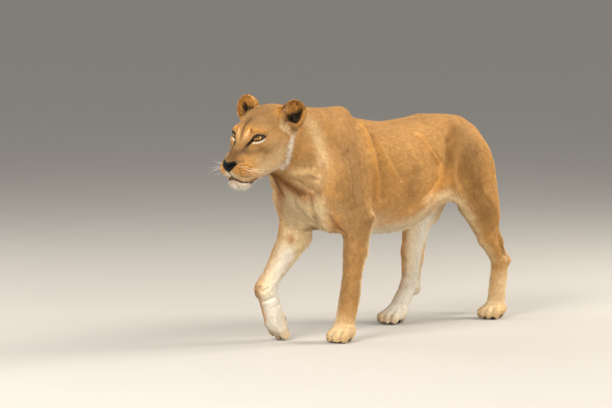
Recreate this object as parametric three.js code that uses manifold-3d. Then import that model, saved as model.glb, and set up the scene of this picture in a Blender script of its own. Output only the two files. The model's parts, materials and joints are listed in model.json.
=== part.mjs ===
// A lioness at life size, walking: the left foreleg and both hind feet bear her weight and the
// right forepaw swings through with its toes just touching the floor.
//
// Frame: millimetres, +Z up, -Y the way she faces, +X her left side. The origin is on the floor
// under the middle of her bounding box.
//
// The body is one distance field: tapered limbs, oval muscles and a lofted barrel, blended
// smoothly. The field is meshed once, thinned to a light faceted solid, and parted by thin cuts
// into the pieces that a person would name. The ears are fields of their own, and the eyes are
// balls in sockets.
import * as THREE from "three";
import { mergeVertices } from "three/addons/utils/BufferGeometryUtils.js";
import Module from "manifold-3d";

const wasm = await Module();
wasm.setup();

// ---------------------------------------------------------------- driving dimensions

const CUT = 0.4; // width of every cut between neighbouring pieces
const BODY_GRID = 7; // grid step that the body is meshed on
const EAR_GRID = 4;
const BODY_TRIANGLES = 5400;
const EAR_TRIANGLES = 300;
const SOLE = 0.6; // height at which the soles are cut flat
// The way that the cuts between head, neck, trunk and hind legs lean.
const CUTS = {
  head: { yaw: 5, pitch: -12, roll: 4 },
  neck: { pitch: -20 },
  groin: { pitch: 36 },
};

// An eyeball, and its place in the head's frame.
const EYE = { radius: 19, side: 53, back: 4, up: 2 };
// An ear's seat in the head's frame, its size, and the way that each is turned.
const EAR = {
  side: 86,
  back: 130,
  up: 4,
  width: 102,
  height: 122,
  cut: 46,
  left: { yaw: 36, pitch: -12, roll: 24 },
  right: { yaw: 6, pitch: -8, roll: -26 },
};


// Joints of the skeleton, [left, back, up] from the floor point under the hips.
const HEAD = { eyes: [14, -1305, 815], yaw: 5, pitch: 15, roll: 4 };
const NECK = { base: [0, -880, 772], nape: [8, -1160, 832], throat: [6, -1130, 752], chest: [0, -956, 606] };
const FORELEG_LEFT = {
  scapula: [48, -824, 860],
  shoulder: [124, -944, 630],
  elbow: [138, -816, 470],
  wrist: [110, -834, 186],
  ball: [106, -870, 37],
  forward: [0.02, -1, 0],
  up: [0, 0, 1],
  web: 2,
};
const FORELEG_RIGHT = {
  scapula: [-50, -842, 824],
  shoulder: [-120, -926, 558],
  elbow: [-136, -870, 410],
  wrist: [-117, -1070, 208],
  ball: [-101, -1026, 70],
  forward: [0.1, 0.3, -0.95],
  up: [0, -0.95, -0.3],
  web: 34,
};
const HINDLEG_LEFT = {
  hip: [76, -84, 716],
  sit: [60, 10, 636],
  stifle: [110, -112, 462],
  ankle: [106, 90, 232],
  heel: [106, 124, 232],
  ball: [98, 70, 37],
  forward: [0.05, -1, 0],
  up: [0, 0, 1],
};
const HINDLEG_RIGHT = {
  hip: [-76, -98, 712],
  sit: [-60, -2, 636],
  stifle: [-112, -216, 452],
  ankle: [-102, -236, 146],
  heel: [-100, -204, 128],
  ball: [-98, -326, 37],
  forward: [-0.03, -1, 0],
  up: [0, 0, 1],
};
// The tail's middle line with its radius at each point, root first.
const TAIL = [
  { at: [0, -70, 784], radius: 42 },
  { at: [0, -4, 762], radius: 33 },
  { at: [0, 56, 702], radius: 28 },
  { at: [0, 106, 612], radius: 25 },
  { at: [0, 144, 512], radius: 22 },
  { at: [2, 172, 412], radius: 20 },
  { at: [5, 190, 320], radius: 18 },
  { at: [8, 200, 245], radius: 20 },
  { at: [10, 206, 180], radius: 24 },
  { at: [10, 209, 122], radius: 8 },
];
// Sections of the barrel of the body: place along her length, top, bottom and half width.
const BARREL = [
  { y: -1000, top: 760, bottom: 600, half: 60 },
  { y: -930, top: 834, bottom: 486, half: 104 },
  { y: -860, top: 858, bottom: 432, half: 128 },
  { y: -760, top: 862, bottom: 404, half: 142 },
  { y: -650, top: 846, bottom: 392, half: 158 },
  { y: -540, top: 832, bottom: 384, half: 168 },
  { y: -430, top: 834, bottom: 390, half: 166 },
  { y: -330, top: 842, bottom: 418, half: 152 },
  { y: -240, top: 846, bottom: 464, half: 132 },
  { y: -150, top: 844, bottom: 530, half: 112 },
  { y: -70, top: 826, bottom: 590, half: 92 },
  { y: 0, top: 786, bottom: 620, half: 70 },
  { y: 50, top: 735, bottom: 650, half: 40 },
];

// ---------------------------------------------------------------- vectors

const add = (a, b, s = 1) => a.map((v, i) => v + b[i] * s);
const mix = (a, b, t) => a.map((v, i) => v + (b[i] - v) * t);
const unit = (a) => a.map((v) => v / Math.hypot(...a));
const cross = (a, b) => [
  a[1] * b[2] - a[2] * b[1],
  a[2] * b[0] - a[0] * b[2],
  a[0] * b[1] - a[1] * b[0],
];
const dot = (a, b) => a[0] * b[0] + a[1] * b[1] + a[2] * b[2];

// A turned frame: at(side, back, up) gives a point in it, and matrix turns a shape into it.
function frameAt(origin, side, back, up) {
  return {
    origin,
    axes: [side, back, up],
    at: (s, b, u) => add(add(add(origin, side, s), back, b), up, u),
  };
}

function turnedFrame(origin, { yaw = 0, pitch = 0, roll = 0 }) {
  const rad = THREE.MathUtils.degToRad;
  const turn = new THREE.Matrix4()
    .makeRotationZ(rad(yaw))
    .multiply(new THREE.Matrix4().makeRotationX(rad(pitch)))
    .multiply(new THREE.Matrix4().makeRotationY(rad(roll)));
  const axes = [0, 1, 2].map((i) => new THREE.Vector3().setFromMatrixColumn(turn, i).toArray());
  return frameAt(origin, ...axes);
}

// ---------------------------------------------------------------- distance fields
// A field is { value(x, y, z), centre, reach }: nothing of it lies past reach from centre.

// A cone with round ends from a to b. Its width along X is `wide` times its depth.
function taper(a, b, ra, rb, wide = 1) {
  const d = add(b, a, -1);
  const length2 = Math.max(dot(d, d), 1e-6);
  const slack = Math.min(1, wide);
  return {
    centre: mix(a, b, 0.5),
    reach: Math.sqrt(length2) / 2 + Math.max(ra, rb) * Math.max(1, wide),
    value(x, y, z) {
      const px = x - a[0];
      const py = y - a[1];
      const pz = z - a[2];
      const t = Math.min(1, Math.max(0, (px * d[0] + py * d[1] + pz * d[2]) / length2));
      const off = Math.hypot((px - t * d[0]) / wide, py - t * d[1], pz - t * d[2]);
      return (off - ra - (rb - ra) * t) * slack;
    },
  };
}

// An oval with radii along the axes of a frame.
function oval(frame, centre, radii) {
  const [cx, cy, cz] = frame ? frame.at(...centre) : centre;
  const axes = frame ? frame.axes : [[1, 0, 0], [0, 1, 0], [0, 0, 1]];
  const [ru, rv, rw] = radii;
  const [u, v, w] = axes.map((axis, i) => axis.map((c) => c / radii[i]));
  return {
    centre: [cx, cy, cz],
    reach: Math.max(...radii),
    value(x, y, z) {
      const px = x - cx;
      const py = y - cy;
      const pz = z - cz;
      const a = px * u[0] + py * u[1] + pz * u[2];
      const b = px * v[0] + py * v[1] + pz * v[2];
      const c = px * w[0] + py * w[1] + pz * w[2];
      const near = Math.sqrt(a * a + b * b + c * c);
      const slope = Math.sqrt((a * a) / (ru * ru) + (b * b) / (rv * rv) + (c * c) / (rw * rw));
      return slope < 1e-9 ? -Math.min(ru, rv, rw) : (near * (near - 1)) / slope;
    },
  };
}

// A smooth curve through [key, value] rows, as a function of the key.
function smoothRow(rows, key, value) {
  const keys = rows.map((r) => r[key]);
  const values = rows.map((r) => r[value]);
  return (k) => {
    let i = 0;
    while (i < keys.length - 2 && k > keys[i + 1]) i++;
    const t = Math.min(1, Math.max(0, (k - keys[i]) / (keys[i + 1] - keys[i])));
    const slope = (j) => {
      const lo = Math.max(0, j - 1);
      const hi = Math.min(keys.length - 1, j + 1);
      return (values[hi] - values[lo]) / (keys[hi] - keys[lo]);
    };
    const span = keys[i + 1] - keys[i];
    const t2 = t * t;
    const t3 = t2 * t;
    return (
      (2 * t3 - 3 * t2 + 1) * values[i] +
      (t3 - 2 * t2 + t) * span * slope(i) +
      (3 * t2 - 2 * t3) * values[i + 1] +
      (t3 - t2) * span * slope(i + 1)
    );
  };
}

// A loft along Y through oval sections that are a little square, as a rib cage is.
function barrel(sections, square = 2.3) {
  const top = smoothRow(sections, "y", "top");
  const bottom = smoothRow(sections, "y", "bottom");
  const half = smoothRow(sections, "y", "half");
  const first = sections[0].y;
  const last = sections[sections.length - 1].y;
  return {
    centre: [0, (first + last) / 2, 620],
    reach: (last - first) / 2 + 260,
    value(x, y, z) {
      const yy = Math.min(last, Math.max(first, y));
      const hi = top(yy);
      const lo = bottom(yy);
      const wide = half(yy);
      const middle = lo + (hi - lo) * 0.52;
      const tall = z > middle ? hi - middle : middle - lo;
      const across = Math.pow(Math.abs(x) / wide, square) + Math.pow(Math.abs(z - middle) / tall, square);
      const n = Math.pow(across, 1 / square);
      const off = Math.hypot(x, z - middle);
      const section = n < 0.05 ? -Math.min(wide, tall) : off - off / n;
      return y === yy ? section : Math.hypot(Math.max(section, 0), y - yy);
    },
  };
}

const smoothMin = (a, b, k) => {
  const h = Math.max(k - Math.abs(a - b), 0) / k;
  return Math.min(a, b) - (h * h * k) / 4;
};

const smoothMax = (a, b, k) => -smoothMin(-a, -b, k);

// The smooth union of fields: where two lie within k of each other they flow together.
function blend(k, fields) {
  const lows = [0, 1, 2].map((i) => Math.min(...fields.map((f) => f.centre[i] - f.reach)));
  const highs = [0, 1, 2].map((i) => Math.max(...fields.map((f) => f.centre[i] + f.reach)));
  const centre = mix(lows, highs, 0.5);
  return {
    centre,
    reach: Math.hypot(...add(highs, lows, -1)) / 2,
    value(x, y, z) {
      let d = 1e3;
      for (const f of fields) {
        const far = Math.hypot(x - f.centre[0], y - f.centre[1], z - f.centre[2]) - f.reach;
        if (far < d + k) d = smoothMin(d, f.value(x, y, z), k);
      }
      return d;
    },
  };
}

// ---------------------------------------------------------------- the animal

// Palm, main pad and four toes round the ball of a foot.
function paw(foot, size, long) {
  const back = foot.forward.map((v) => -v);
  const side = unit(cross(back, foot.up));
  const b = unit(cross(foot.up, side));
  const frame = frameAt(foot.ball, side, b, unit(foot.up));
  const toes = [-1.5, -0.5, 0.5, 1.5].flatMap((i) => {
    const shorter = 8 * i * i * size;
    const at = (s, y, z) => [i * s * size, (-y * long + shorter) * size, z * size];
    return [
      oval(frame, at(24, 26, 0), [15 * size, 34 * size * long, 21 * size]),
      oval(frame, at(27, 57, -14), [15.5 * size, 21 * size, 24 * size]),
    ];
  });
  return blend(9, [
    oval(frame, [0, 8 * size, 6 * size], [46 * size, 44 * size, 32 * size]),
    oval(frame, [0, 12 * size, -16 * size], [34 * size, 30 * size, 23 * size]),
    ...toes,
  ]);
}

function foreleg(j) {
  const out = Math.sign(j.shoulder[0]);
  const blade = mix(j.scapula, j.shoulder, 0.45);
  const along = (t) => mix(j.elbow, j.wrist, t);
  const wrist = unit(add(j.elbow, j.wrist, -1));
  const rear = unit(cross(wrist, [1, 0, 0]));
  const upper = blend(50, [
    taper(j.scapula, j.shoulder, 42, 58, 0.66),
    // the muscle in front of the blade and the one over the point of the shoulder
    taper(add(blade, [out * 2, -34, 10]), add(j.shoulder, [-out * 6, 8, 8]), 58, 50, 0.7),
    taper(j.shoulder, add(j.elbow, [0, -10, 14]), 60, 52, 0.82),
    // triceps, from the blade's rear edge to the elbow
    taper(add(mix(j.scapula, j.elbow, 0.5), [out * 26, 24, 0]), add(j.elbow, [0, 4, 50]), 80, 52, 0.62),
  ]);
  const lower = blend(14, [
    taper(j.elbow, add(add(j.elbow, rear, 22), wrist, 8), 36, 27),
    taper(add(j.elbow, rear, j.web), add(along(0.55), rear, j.web * 0.3), 48, 38, 0.9),
    taper(add(j.elbow, [0, -12, 4]), add(along(0.42), [0, -4, 0]), 60, 50, 0.86),
    taper(along(0.4), add(j.wrist, wrist, 34), 49, 38, 0.96),
    taper(add(j.wrist, wrist, 34), add(j.wrist, wrist, -10), 37, 39, 1.02),
    taper(j.wrist, j.ball, 38, 38, 1.08),
    paw(j, 1, 1),
  ]);
  return blend(30, [upper, lower]);
}

function hindleg(j) {
  const out = Math.sign(j.hip[0]);
  const calf = add(j.stifle, [0, 62, -14]);
  const upper = blend(50, [
    taper(add(j.hip, [-out * 14, -110, 50]), add(j.sit, [0, -14, 6]), 68, 48, 0.86),
    taper(add(j.hip, [out * 8, -44, -20]), add(j.stifle, [0, 4, 34]), 88, 46, 0.68),
    taper(add(j.hip, [out * 6, 40, -50]), add(j.stifle, [0, 98, 20]), 74, 52, 0.66),
    taper(add(j.sit, [out * 18, -8, -30]), add(j.stifle, [0, 132, -24]), 48, 42, 0.72),
    // the fold of skin from the flank to the knee
    taper([out * 82, -340, 556], add(j.stifle, [0, -44, 58]), 40, 34, 0.6),
  ]);
  const lower = blend(16, [
    taper(add(j.stifle, [0, 18, 6]), mix(j.stifle, j.ankle, 0.55), 54, 38, 0.82),
    taper(calf, mix(calf, j.heel, 0.6), 58, 32, 0.74),
    taper(mix(j.stifle, j.ankle, 0.55), j.ankle, 38, 33, 0.88),
    taper(mix(calf, j.heel, 0.58), j.heel, 28, 21, 0.9),
    taper(j.ankle, j.heel, 31, 23, 0.95),
    taper(j.ankle, j.ball, 34, 36, 1.04),
    paw(j, 0.95, 1.12),
  ]);
  return blend(34, [upper, lower]);
}

function tail() {
  const lengths = TAIL.slice(1).map((p, i) => taper(TAIL[i].at, p.at, TAIL[i].radius, p.radius));
  return blend(3, lengths);
}

const headFrame = turnedFrame(HEAD.eyes, HEAD);

// Both sides of a mirrored pair in the head's frame.
const pair = (make) => [1, -1].map(make);

function head() {
  const f = headFrame;
  const skull = blend(22, [
    oval(f, [0, 92, -6], [86, 96, 84]),
    oval(f, [0, 28, -2], [60, 66, 58]),
    ...pair((s) => oval(f, [s * 56, 52, -36], [48, 68, 46])),
    ...pair((s) => oval(f, [s * 47, 23, 0], [28, 26, 25])),
    // nose bridge and the jaw bone beside it
    taper(f.at(0, 10, -12), f.at(0, -110, -80), 38, 31, 1.16),
    ...pair((s) => taper(f.at(s * 26, 0, -56), f.at(s * 28, -84, -92), 42, 34)),
    ...pair((s) => oval(f, [s * 38, -4, -96], [34, 62, 46])),
    ...pair((s) => oval(f, [s * 55, 26, -72], [34, 52, 40])),
  ]);
  const muzzle = blend(12, [
    ...pair((s) => oval(f, [s * 32, -82, -104], [32, 44, 31])),
    ...pair((s) => oval(f, [s * 36, -58, -118], [29, 42, 27])),
    ...pair((s) => oval(f, [s * 17, -104, -104], [22, 22, 26])),
    // nose pad
    oval(f, [0, -120, -70], [31, 19, 15]),
    oval(f, [0, -122, -84], [15, 16, 15]),
  ]);
  const jaw = blend(24, [
    ...pair((s) => taper(f.at(s * 18, -76, -149), f.at(s * 56, 40, -112), 27, 41)),
    ...pair((s) => oval(f, [s * 62, 72, -74], [44, 68, 66])),
    ...pair((s) => oval(f, [s * 72, 112, -40], [36, 50, 72])),
    oval(f, [0, -82, -150], [35, 32, 29]),
    oval(f, [0, 44, -92], [60, 84, 50]),
  ]);
  const brows = pair((s) => taper(f.at(s * 24, 4, 16), f.at(s * 58, 26, 15), 15, 14));
  return blend(16, [skull, muzzle, jaw, ...brows]);
}

// A cupped ear: a bowl with its opening along -back, and the closed foot that it stands on.
function ear(side) {
  const seat = headFrame.at(side * EAR.side, EAR.back, EAR.up);
  const turned = turnedFrame(seat, side > 0 ? EAR.left : EAR.right);
  const bowl = oval(turned, [0, 12, 50], [EAR.width / 2, 36, EAR.height / 2]);
  const hollow = oval(turned, [0, -8, 56], [EAR.width / 2 - 8, 40, EAR.height / 2 - 9]);
  const foot = oval(turned, [0, 12, 0], [46, 34, 32]);
  return {
    centre: bowl.centre,
    reach: EAR.height,
    value(x, y, z) {
      const p = [x - seat[0], y - seat[1], z - seat[2]];
      const depth = dot(p, turned.axes[1]);
      const front = smoothMax(-hollow.value(x, y, z), -depth - 10, 6);
      return smoothMin(smoothMax(bowl.value(x, y, z), front, 6), foot.value(x, y, z), 14);
    },
  };
}

function trunk() {
  return blend(60, [
    barrel(BARREL),
    taper(NECK.base, NECK.nape, 130, 92, 0.82),
    taper(NECK.chest, NECK.throat, 104, 74, 0.96),
    taper(mix(NECK.chest, NECK.base, 0.5), mix(NECK.throat, NECK.nape, 0.5), 128, 98, 0.86),
    // the muscle from the neck to the point of the shoulder, and the breast muscle
    ...pair((s) => taper([s * 62, -1050, 716], [s * 92, -938, 590], 52, 58)),
    ...pair((s) => taper([s * 48, -950, 560], [s * 68, -896, 478], 66, 60)),
  ]);
}

const body = blend(36, [
  trunk(),
  foreleg(FORELEG_LEFT),
  foreleg(FORELEG_RIGHT),
  hindleg(HINDLEG_LEFT),
  hindleg(HINDLEG_RIGHT),
  tail(),
  head(),
]);

const ears = pair(ear);

// ---------------------------------------------------------------- meshing a field

// Surface nets: one vertex for each grid cell that the surface crosses, moved onto the surface.
function netOf(field, low, high, step) {
  const n = [0, 1, 2].map((i) => Math.ceil((high[i] - low[i]) / step) + 2);
  const at = (i, a) => low[a] + i * step;
  const values = new Float32Array(n[0] * n[1] * n[2]).fill(step);
  const index = (i, j, k) => (k * n[1] + j) * n[0] + i;
  const block = 4;
  const near = block * step * 1.9;
  for (let k = 0; k < n[2]; k += block)
    for (let j = 0; j < n[1]; j += block)
      for (let i = 0; i < n[0]; i += block) {
        const middle = field(at(i + block / 2, 0), at(j + block / 2, 1), at(k + block / 2, 2));
        for (let c = k; c < Math.min(k + block, n[2]); c++)
          for (let b = j; b < Math.min(j + block, n[1]); b++)
            for (let a = i; a < Math.min(i + block, n[0]); a++)
              values[index(a, b, c)] =
                Math.abs(middle) > near ? middle : field(at(a, 0), at(b, 1), at(c, 2));
      }
  fillPinches(values, n, [1, n[0], n[0] * n[1]]);
  const points = [];
  const cells = new Map();
  const corners = [0, 1, 2, 3, 4, 5, 6, 7].map((c) => [c & 1, (c >> 1) & 1, c >> 2]);
  const edges = corners.flatMap((_, a) => [1, 2, 4].filter((bit) => !(a & bit)).map((bit) => [a, a | bit]));
  for (let k = 0; k < n[2] - 1; k++)
    for (let j = 0; j < n[1] - 1; j++)
      for (let i = 0; i < n[0] - 1; i++) {
        const v = corners.map(([a, b, c]) => values[index(i + a, j + b, k + c)]);
        if (v.every((d) => d > 0) || v.every((d) => d <= 0)) continue;
        const sum = [0, 0, 0];
        let count = 0;
        for (const [a, b] of edges) {
          if (v[a] > 0 === v[b] > 0) continue;
          const t = v[a] / (v[a] - v[b]);
          for (let e = 0; e < 3; e++) sum[e] += corners[a][e] + (corners[b][e] - corners[a][e]) * t;
          count++;
        }
        cells.set(index(i, j, k), points.length);
        points.push(sum.map((s, e) => at([i, j, k][e] + s / count, e)));
      }
  const triangles = [];
  const strides = [1, n[0], n[0] * n[1]];
  for (let k = 1; k < n[2] - 1; k++)
    for (let j = 1; j < n[1] - 1; j++)
      for (let i = 1; i < n[0] - 1; i++) {
        const here = index(i, j, k);
        for (let a = 0; a < 3; a++) {
          const inside = values[here] <= 0;
          if (inside === values[here + strides[a]] <= 0) continue;
          const u = strides[(a + 1) % 3];
          const w = strides[(a + 2) % 3];
          const q = [here, here - u, here - u - w, here - w].map((c) => cells.get(c));
          const loop = inside ? q : [q[0], q[3], q[2], q[1]];
          triangles.push([loop[0], loop[1], loop[2]], [loop[0], loop[2], loop[3]]);
        }
      }
  return { points: points.map((p) => ontoSurface(field, p, step)), triangles };
}

// Where the corners of a grid face take turns, inside and outside, four faces of the net would
// meet at one edge: such a face is filled.
function fillPinches(values, n, strides) {
  const here = (i, j, k) => i * strides[0] + j * strides[1] + k * strides[2];
  const alternates = (a, b, c, d) =>
    values[a] <= 0 === values[c] <= 0 && values[b] <= 0 === values[d] <= 0 && values[a] <= 0 !== values[b] <= 0;
  for (let found = true; found; ) {
    found = false;
    for (let k = 0; k < n[2] - 1; k++)
      for (let j = 0; j < n[1] - 1; j++)
        for (let i = 0; i < n[0] - 1; i++)
          for (let a = 0; a < 3; a++) {
            const p = here(i, j, k);
            const u = strides[a];
            const w = strides[(a + 1) % 3];
            if (!alternates(p, p + u, p + u + w, p + w)) continue;
            const outside = values[p] > 0 ? [p, p + u + w] : [p + u, p + w];
            values[values[outside[0]] < values[outside[1]] ? outside[0] : outside[1]] = -0.01;
            found = true;
          }
  }
}

// Moves a point onto the field's surface along its slope.
function ontoSurface(field, point, step) {
  const e = step * 0.2;
  let p = point;
  for (let i = 0; i < 2; i++) {
    const d = field(...p);
    const slope = [0, 1, 2].map((a) => {
      const q = [0, 0, 0];
      q[a] = e;
      return (field(...add(p, q)) - field(...add(p, q, -1))) / (2 * e);
    });
    const steep = dot(slope, slope);
    if (steep > 1e-4) p = add(p, slope, -Math.min(step / 2, Math.max(-step / 2, d / steep)));
  }
  return p;
}

// ---------------------------------------------------------------- thinning a mesh

// Collapses the edges that change the shape least, until `target` triangles are left. A triangle
// where weight(x, y, z) is large keeps its shape more closely.
function thinned({ points, triangles }, target, weight) {
  const p = points.map((v) => [...v]);
  const faces = triangles.map((t) => [...t]);
  const around = p.map(() => new Set());
  faces.forEach((t, i) => t.forEach((v) => around[v].add(i)));
  const normal = (a, b, c) => cross(add(b, a, -1), add(c, a, -1));
  const quadric = p.map(() => new Float64Array(10));
  for (const [a, b, c] of faces) {
    const n = normal(p[a], p[b], p[c]);
    const area = Math.hypot(...n) || 1e-9;
    const [x, y, z] = n.map((v) => v / area);
    const d = -dot([x, y, z], p[a]);
    const w = area * weight(p[a]);
    const q = [x * x, x * y, x * z, x * d, y * y, y * z, y * d, z * z, z * d, d * d];
    for (const v of [a, b, c]) q.forEach((s, i) => (quadric[v][i] += s * w));
  }
  const error = (q, [x, y, z]) =>
    q[0] * x * x + q[4] * y * y + q[7] * z * z + q[9] +
    2 * (q[1] * x * y + q[2] * x * z + q[3] * x + q[5] * y * z + q[6] * y + q[8] * z);
  const best = (a, b) => {
    const q = quadric[a].map((v, i) => v + quadric[b][i]);
    const rows = [[q[0], q[1], q[2]], [q[1], q[4], q[5]], [q[2], q[5], q[7]]];
    const side = [-q[3], -q[6], -q[8]];
    const det = dot(rows[0], cross(rows[1], rows[2]));
    const middle = mix(p[a], p[b], 0.5);
    const size = q[0] + q[4] + q[7];
    let at = middle;
    if (Math.abs(det) > 1e-4 * size ** 3) {
      const solved = [
        dot(side, cross(rows[1], rows[2])) / det,
        dot(rows[0], cross(side, rows[2])) / det,
        dot(rows[0], cross(rows[1], side)) / det,
      ];
      const reach = Math.hypot(...add(p[a], p[b], -1));
      if (Math.hypot(...add(solved, middle, -1)) < 1.5 * reach) at = solved;
    }
    return { at, cost: Math.max(0, error(q, at)) + 1e-3 * dot(add(p[a], p[b], -1), add(p[a], p[b], -1)) };
  };
  const version = new Int32Array(p.length);
  const heap = [];
  const swap = (i, j) => ([heap[i], heap[j]] = [heap[j], heap[i]]);
  const push = (item) => {
    heap.push(item);
    for (let i = heap.length - 1; i > 0 && heap[i].cost < heap[(i - 1) >> 1].cost; i = (i - 1) >> 1)
      swap(i, (i - 1) >> 1);
  };
  const pop = () => {
    const top = heap[0];
    const end = heap.pop();
    if (heap.length) {
      heap[0] = end;
      for (let i = 0; ; ) {
        const kids = [2 * i + 1, 2 * i + 2].filter((c) => c < heap.length);
        const least = kids.sort((a, b) => heap[a].cost - heap[b].cost)[0];
        if (least === undefined || heap[least].cost >= heap[i].cost) break;
        swap(i, least);
        i = least;
      }
    }
    return top;
  };
  const offer = (a, b) => push({ a, b, va: version[a], vb: version[b], ...best(a, b) });
  const neighbours = (v) => new Set([...around[v]].flatMap((t) => faces[t]).filter((o) => o !== v));
  p.forEach((_, v) => neighbours(v).forEach((o) => o > v && offer(v, o)));
  let left = faces.length;
  while (left > target && heap.length) {
    const { a, b, va, vb, at } = pop();
    if (va !== version[a] || vb !== version[b]) continue;
    const shared = [...around[a]].filter((t) => around[b].has(t));
    const na = neighbours(a);
    const common = [...neighbours(b)].filter((v) => na.has(v));
    if (shared.length !== 2 || common.length !== 2) continue;
    const flips = [a, b].some((v) =>
      [...around[v]].some((t) => {
        if (shared.includes(t)) return false;
        const old = normal(...faces[t].map((o) => p[o]));
        const now = normal(...faces[t].map((o) => (o === v ? at : p[o])));
        return dot(old, now) < 0.3 * Math.hypot(...old) * Math.hypot(...now);
      }),
    );
    if (flips) continue;
    for (const t of shared) faces[t].forEach((v) => around[v].delete(t));
    shared.forEach((t) => (faces[t] = null));
    left -= 2;
    for (const t of around[b]) {
      faces[t] = faces[t].map((v) => (v === b ? a : v));
      around[a].add(t);
    }
    around[b].clear();
    version[b] = -1;
    version[a]++;
    p[a] = at;
    quadric[b].forEach((v, i) => (quadric[a][i] += v));
    neighbours(a).forEach((o) => offer(a, o));
  }
  return { points: p, triangles: faces.filter(Boolean) };
}

// ---------------------------------------------------------------- solids

function solid({ points, triangles }) {
  return new wasm.Manifold(
    new wasm.Mesh({
      numProp: 3,
      vertProperties: new Float32Array(points.flat()),
      triVerts: new Uint32Array(triangles.flat()),
    }),
  );
}

// A three.js geometry as a solid.
function solidOf(geometry) {
  const g = geometry.clone();
  g.deleteAttribute("normal");
  g.deleteAttribute("uv");
  const merged = mergeVertices(g, 1e-4);
  return new wasm.Manifold(
    new wasm.Mesh({
      numProp: 3,
      vertProperties: new Float32Array(merged.attributes.position.array),
      triVerts: new Uint32Array(merged.index.array),
    }),
  );
}

function geometryOf(manifold) {
  const m = manifold.getMesh();
  const g = new THREE.BufferGeometry();
  g.setAttribute("position", new THREE.BufferAttribute(Float32Array.from(m.vertProperties), 3));
  g.setIndex(new THREE.BufferAttribute(Uint32Array.from(m.triVerts), 1));
  const faceted = g.toNonIndexed();
  faceted.computeVertexNormals();
  return faceted;
}

// The largest of the bodies that a cut leaves.
const largest = (manifold) => manifold.decompose().sort((a, b) => b.volume() - a.volume())[0];

// A box that holds a limb: its inner faces are the cuts. Sizes run from low to high in a frame.
function region(frame, low, high, grow = 0) {
  const size = high.map((v, i) => v - low[i] + 2 * grow);
  const geometry = new THREE.BoxGeometry(...size);
  const middle = frame.at(...mix(low, high, 0.5));
  const turn = new THREE.Matrix4().makeBasis(...frame.axes.map((a) => new THREE.Vector3(...a)));
  geometry.applyMatrix4(turn.setPosition(...middle));
  return solidOf(geometry);
}

const whole = thinned(
  netOf((x, y, z) => Math.max(body.value(x, y, z), -z), [-260, -1500, -14], [260, 270, 960], BODY_GRID),
  BODY_TRIANGLES,
  ([, y, z]) => (y < -1130 && z > 560 ? 9 : z < 100 ? 2.5 : 1),
);
const everywhere = (low, high) => region(frameAt([0, 0, 0], [1, 0, 0], [0, 1, 0], [0, 0, 1]), low, high);

let rest = solid(whole).subtract(everywhere([-400, -1600, -60], [400, 500, SOLE]));
for (const [i, field] of ears.entries()) {
  const [x, y, z] = field.centre;
  const low = [x - 90, y - 90, z - 110];
  const net = netOf((a, b, c) => field.value(a, b, c), low, [x + 90, y + 90, z + 90], EAR_GRID);
  rest = rest.add(solid(thinned(net, EAR_TRIANGLES, () => 1)));
}

const pieces = {};
// Takes the part of the rest that lies in a box, and leaves a cut round it.
function part(name, frame, low, high) {
  pieces[name] = largest(rest.intersect(region(frame, low, high)));
  rest = largest(rest.subtract(region(frame, low, high, CUT)));
}

for (const side of [1, -1]) {
  const name = side > 0 ? "left" : "right";
  const turned = turnedFrame(
    headFrame.at(side * EAR.side, EAR.back, EAR.up),
    side > 0 ? EAR.left : EAR.right,
  );
  part(`ear_${name}`, turned, [-EAR.width * 0.56, -60, EAR.cut], [EAR.width * 0.56, 80, 160]);
}
part("tail", turnedFrame([0, 72, 300], {}), [-58, 0, -340], [64, 260, 460]);
part("head", turnedFrame(headFrame.at(0, 122, -45), CUTS.head), [-300, -500, -300], [300, 0, 300]);
part("neck", turnedFrame([0, -1004, 700], CUTS.neck), [-300, -400, -160], [300, 0, 400]);
part("foreleg_left", turnedFrame([70, -860, 500], {}), [0, -260, -540], [260, 160, 0]);
part("foreleg_right", turnedFrame([-70, -860, 466], {}), [-260, -360, -540], [0, 100, 0]);
part("hindleg_left", turnedFrame([0, -60, 585], CUTS.groin), [0, -800, -900], [300, 500, 0]);
part("hindleg_right", turnedFrame([0, -60, 585], CUTS.groin), [-300, -800, -900], [-CUT, 500, 0]);
pieces.trunk = rest;

for (const side of [1, -1]) {
  const name = side > 0 ? "left" : "right";
  const centre = headFrame.at(side * EYE.side, EYE.back, EYE.up);
  const ball = (grow) => {
    const shape = new THREE.SphereGeometry(EYE.radius + grow, 14, 8);
    shape.rotateX(Math.PI / 2 + THREE.MathUtils.degToRad(HEAD.pitch));
    return solidOf(shape.translate(...centre));
  };
  pieces[`eye_${name}`] = ball(0);
  pieces.head = largest(pieces.head.subtract(ball(CUT)));
}

const all = wasm.Manifold.compose(Object.values(pieces)).boundingBox();
const origin = [(all.min[0] + all.max[0]) / 2, (all.min[1] + all.max[1]) / 2, all.min[2]];

const group = new THREE.Group();
group.name = "lioness";
const coat = new THREE.MeshStandardMaterial({ color: 0xb98d57, roughness: 0.85, metalness: 0 });
const eye = new THREE.MeshStandardMaterial({ color: 0x8a6a24, roughness: 0.1, metalness: 0 });
for (const [name, piece] of Object.entries(pieces)) {
  const moved = piece.translate(origin.map((v) => -v));
  const mesh = new THREE.Mesh(geometryOf(moved), name.startsWith("eye") ? eye : coat);
  mesh.name = name;
  group.add(mesh);
}

export default group;
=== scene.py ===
"""A walking lioness at life size: one skin, eyes, whiskers and a short coat of solid tufts.

Frame: metres, +Z up, -Y the way she faces, +X her left side. The tables of places on her are in
millimetres, and those of the head are in a frame between the eyes that turns with the head.
"""

import json
import logging
import math
from collections.abc import Iterator
from contextlib import contextmanager
from dataclasses import dataclass, field
from enum import Enum

import bmesh
import bpy
import numpy as np
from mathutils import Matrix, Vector
from mathutils.bvhtree import BVHTree

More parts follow.
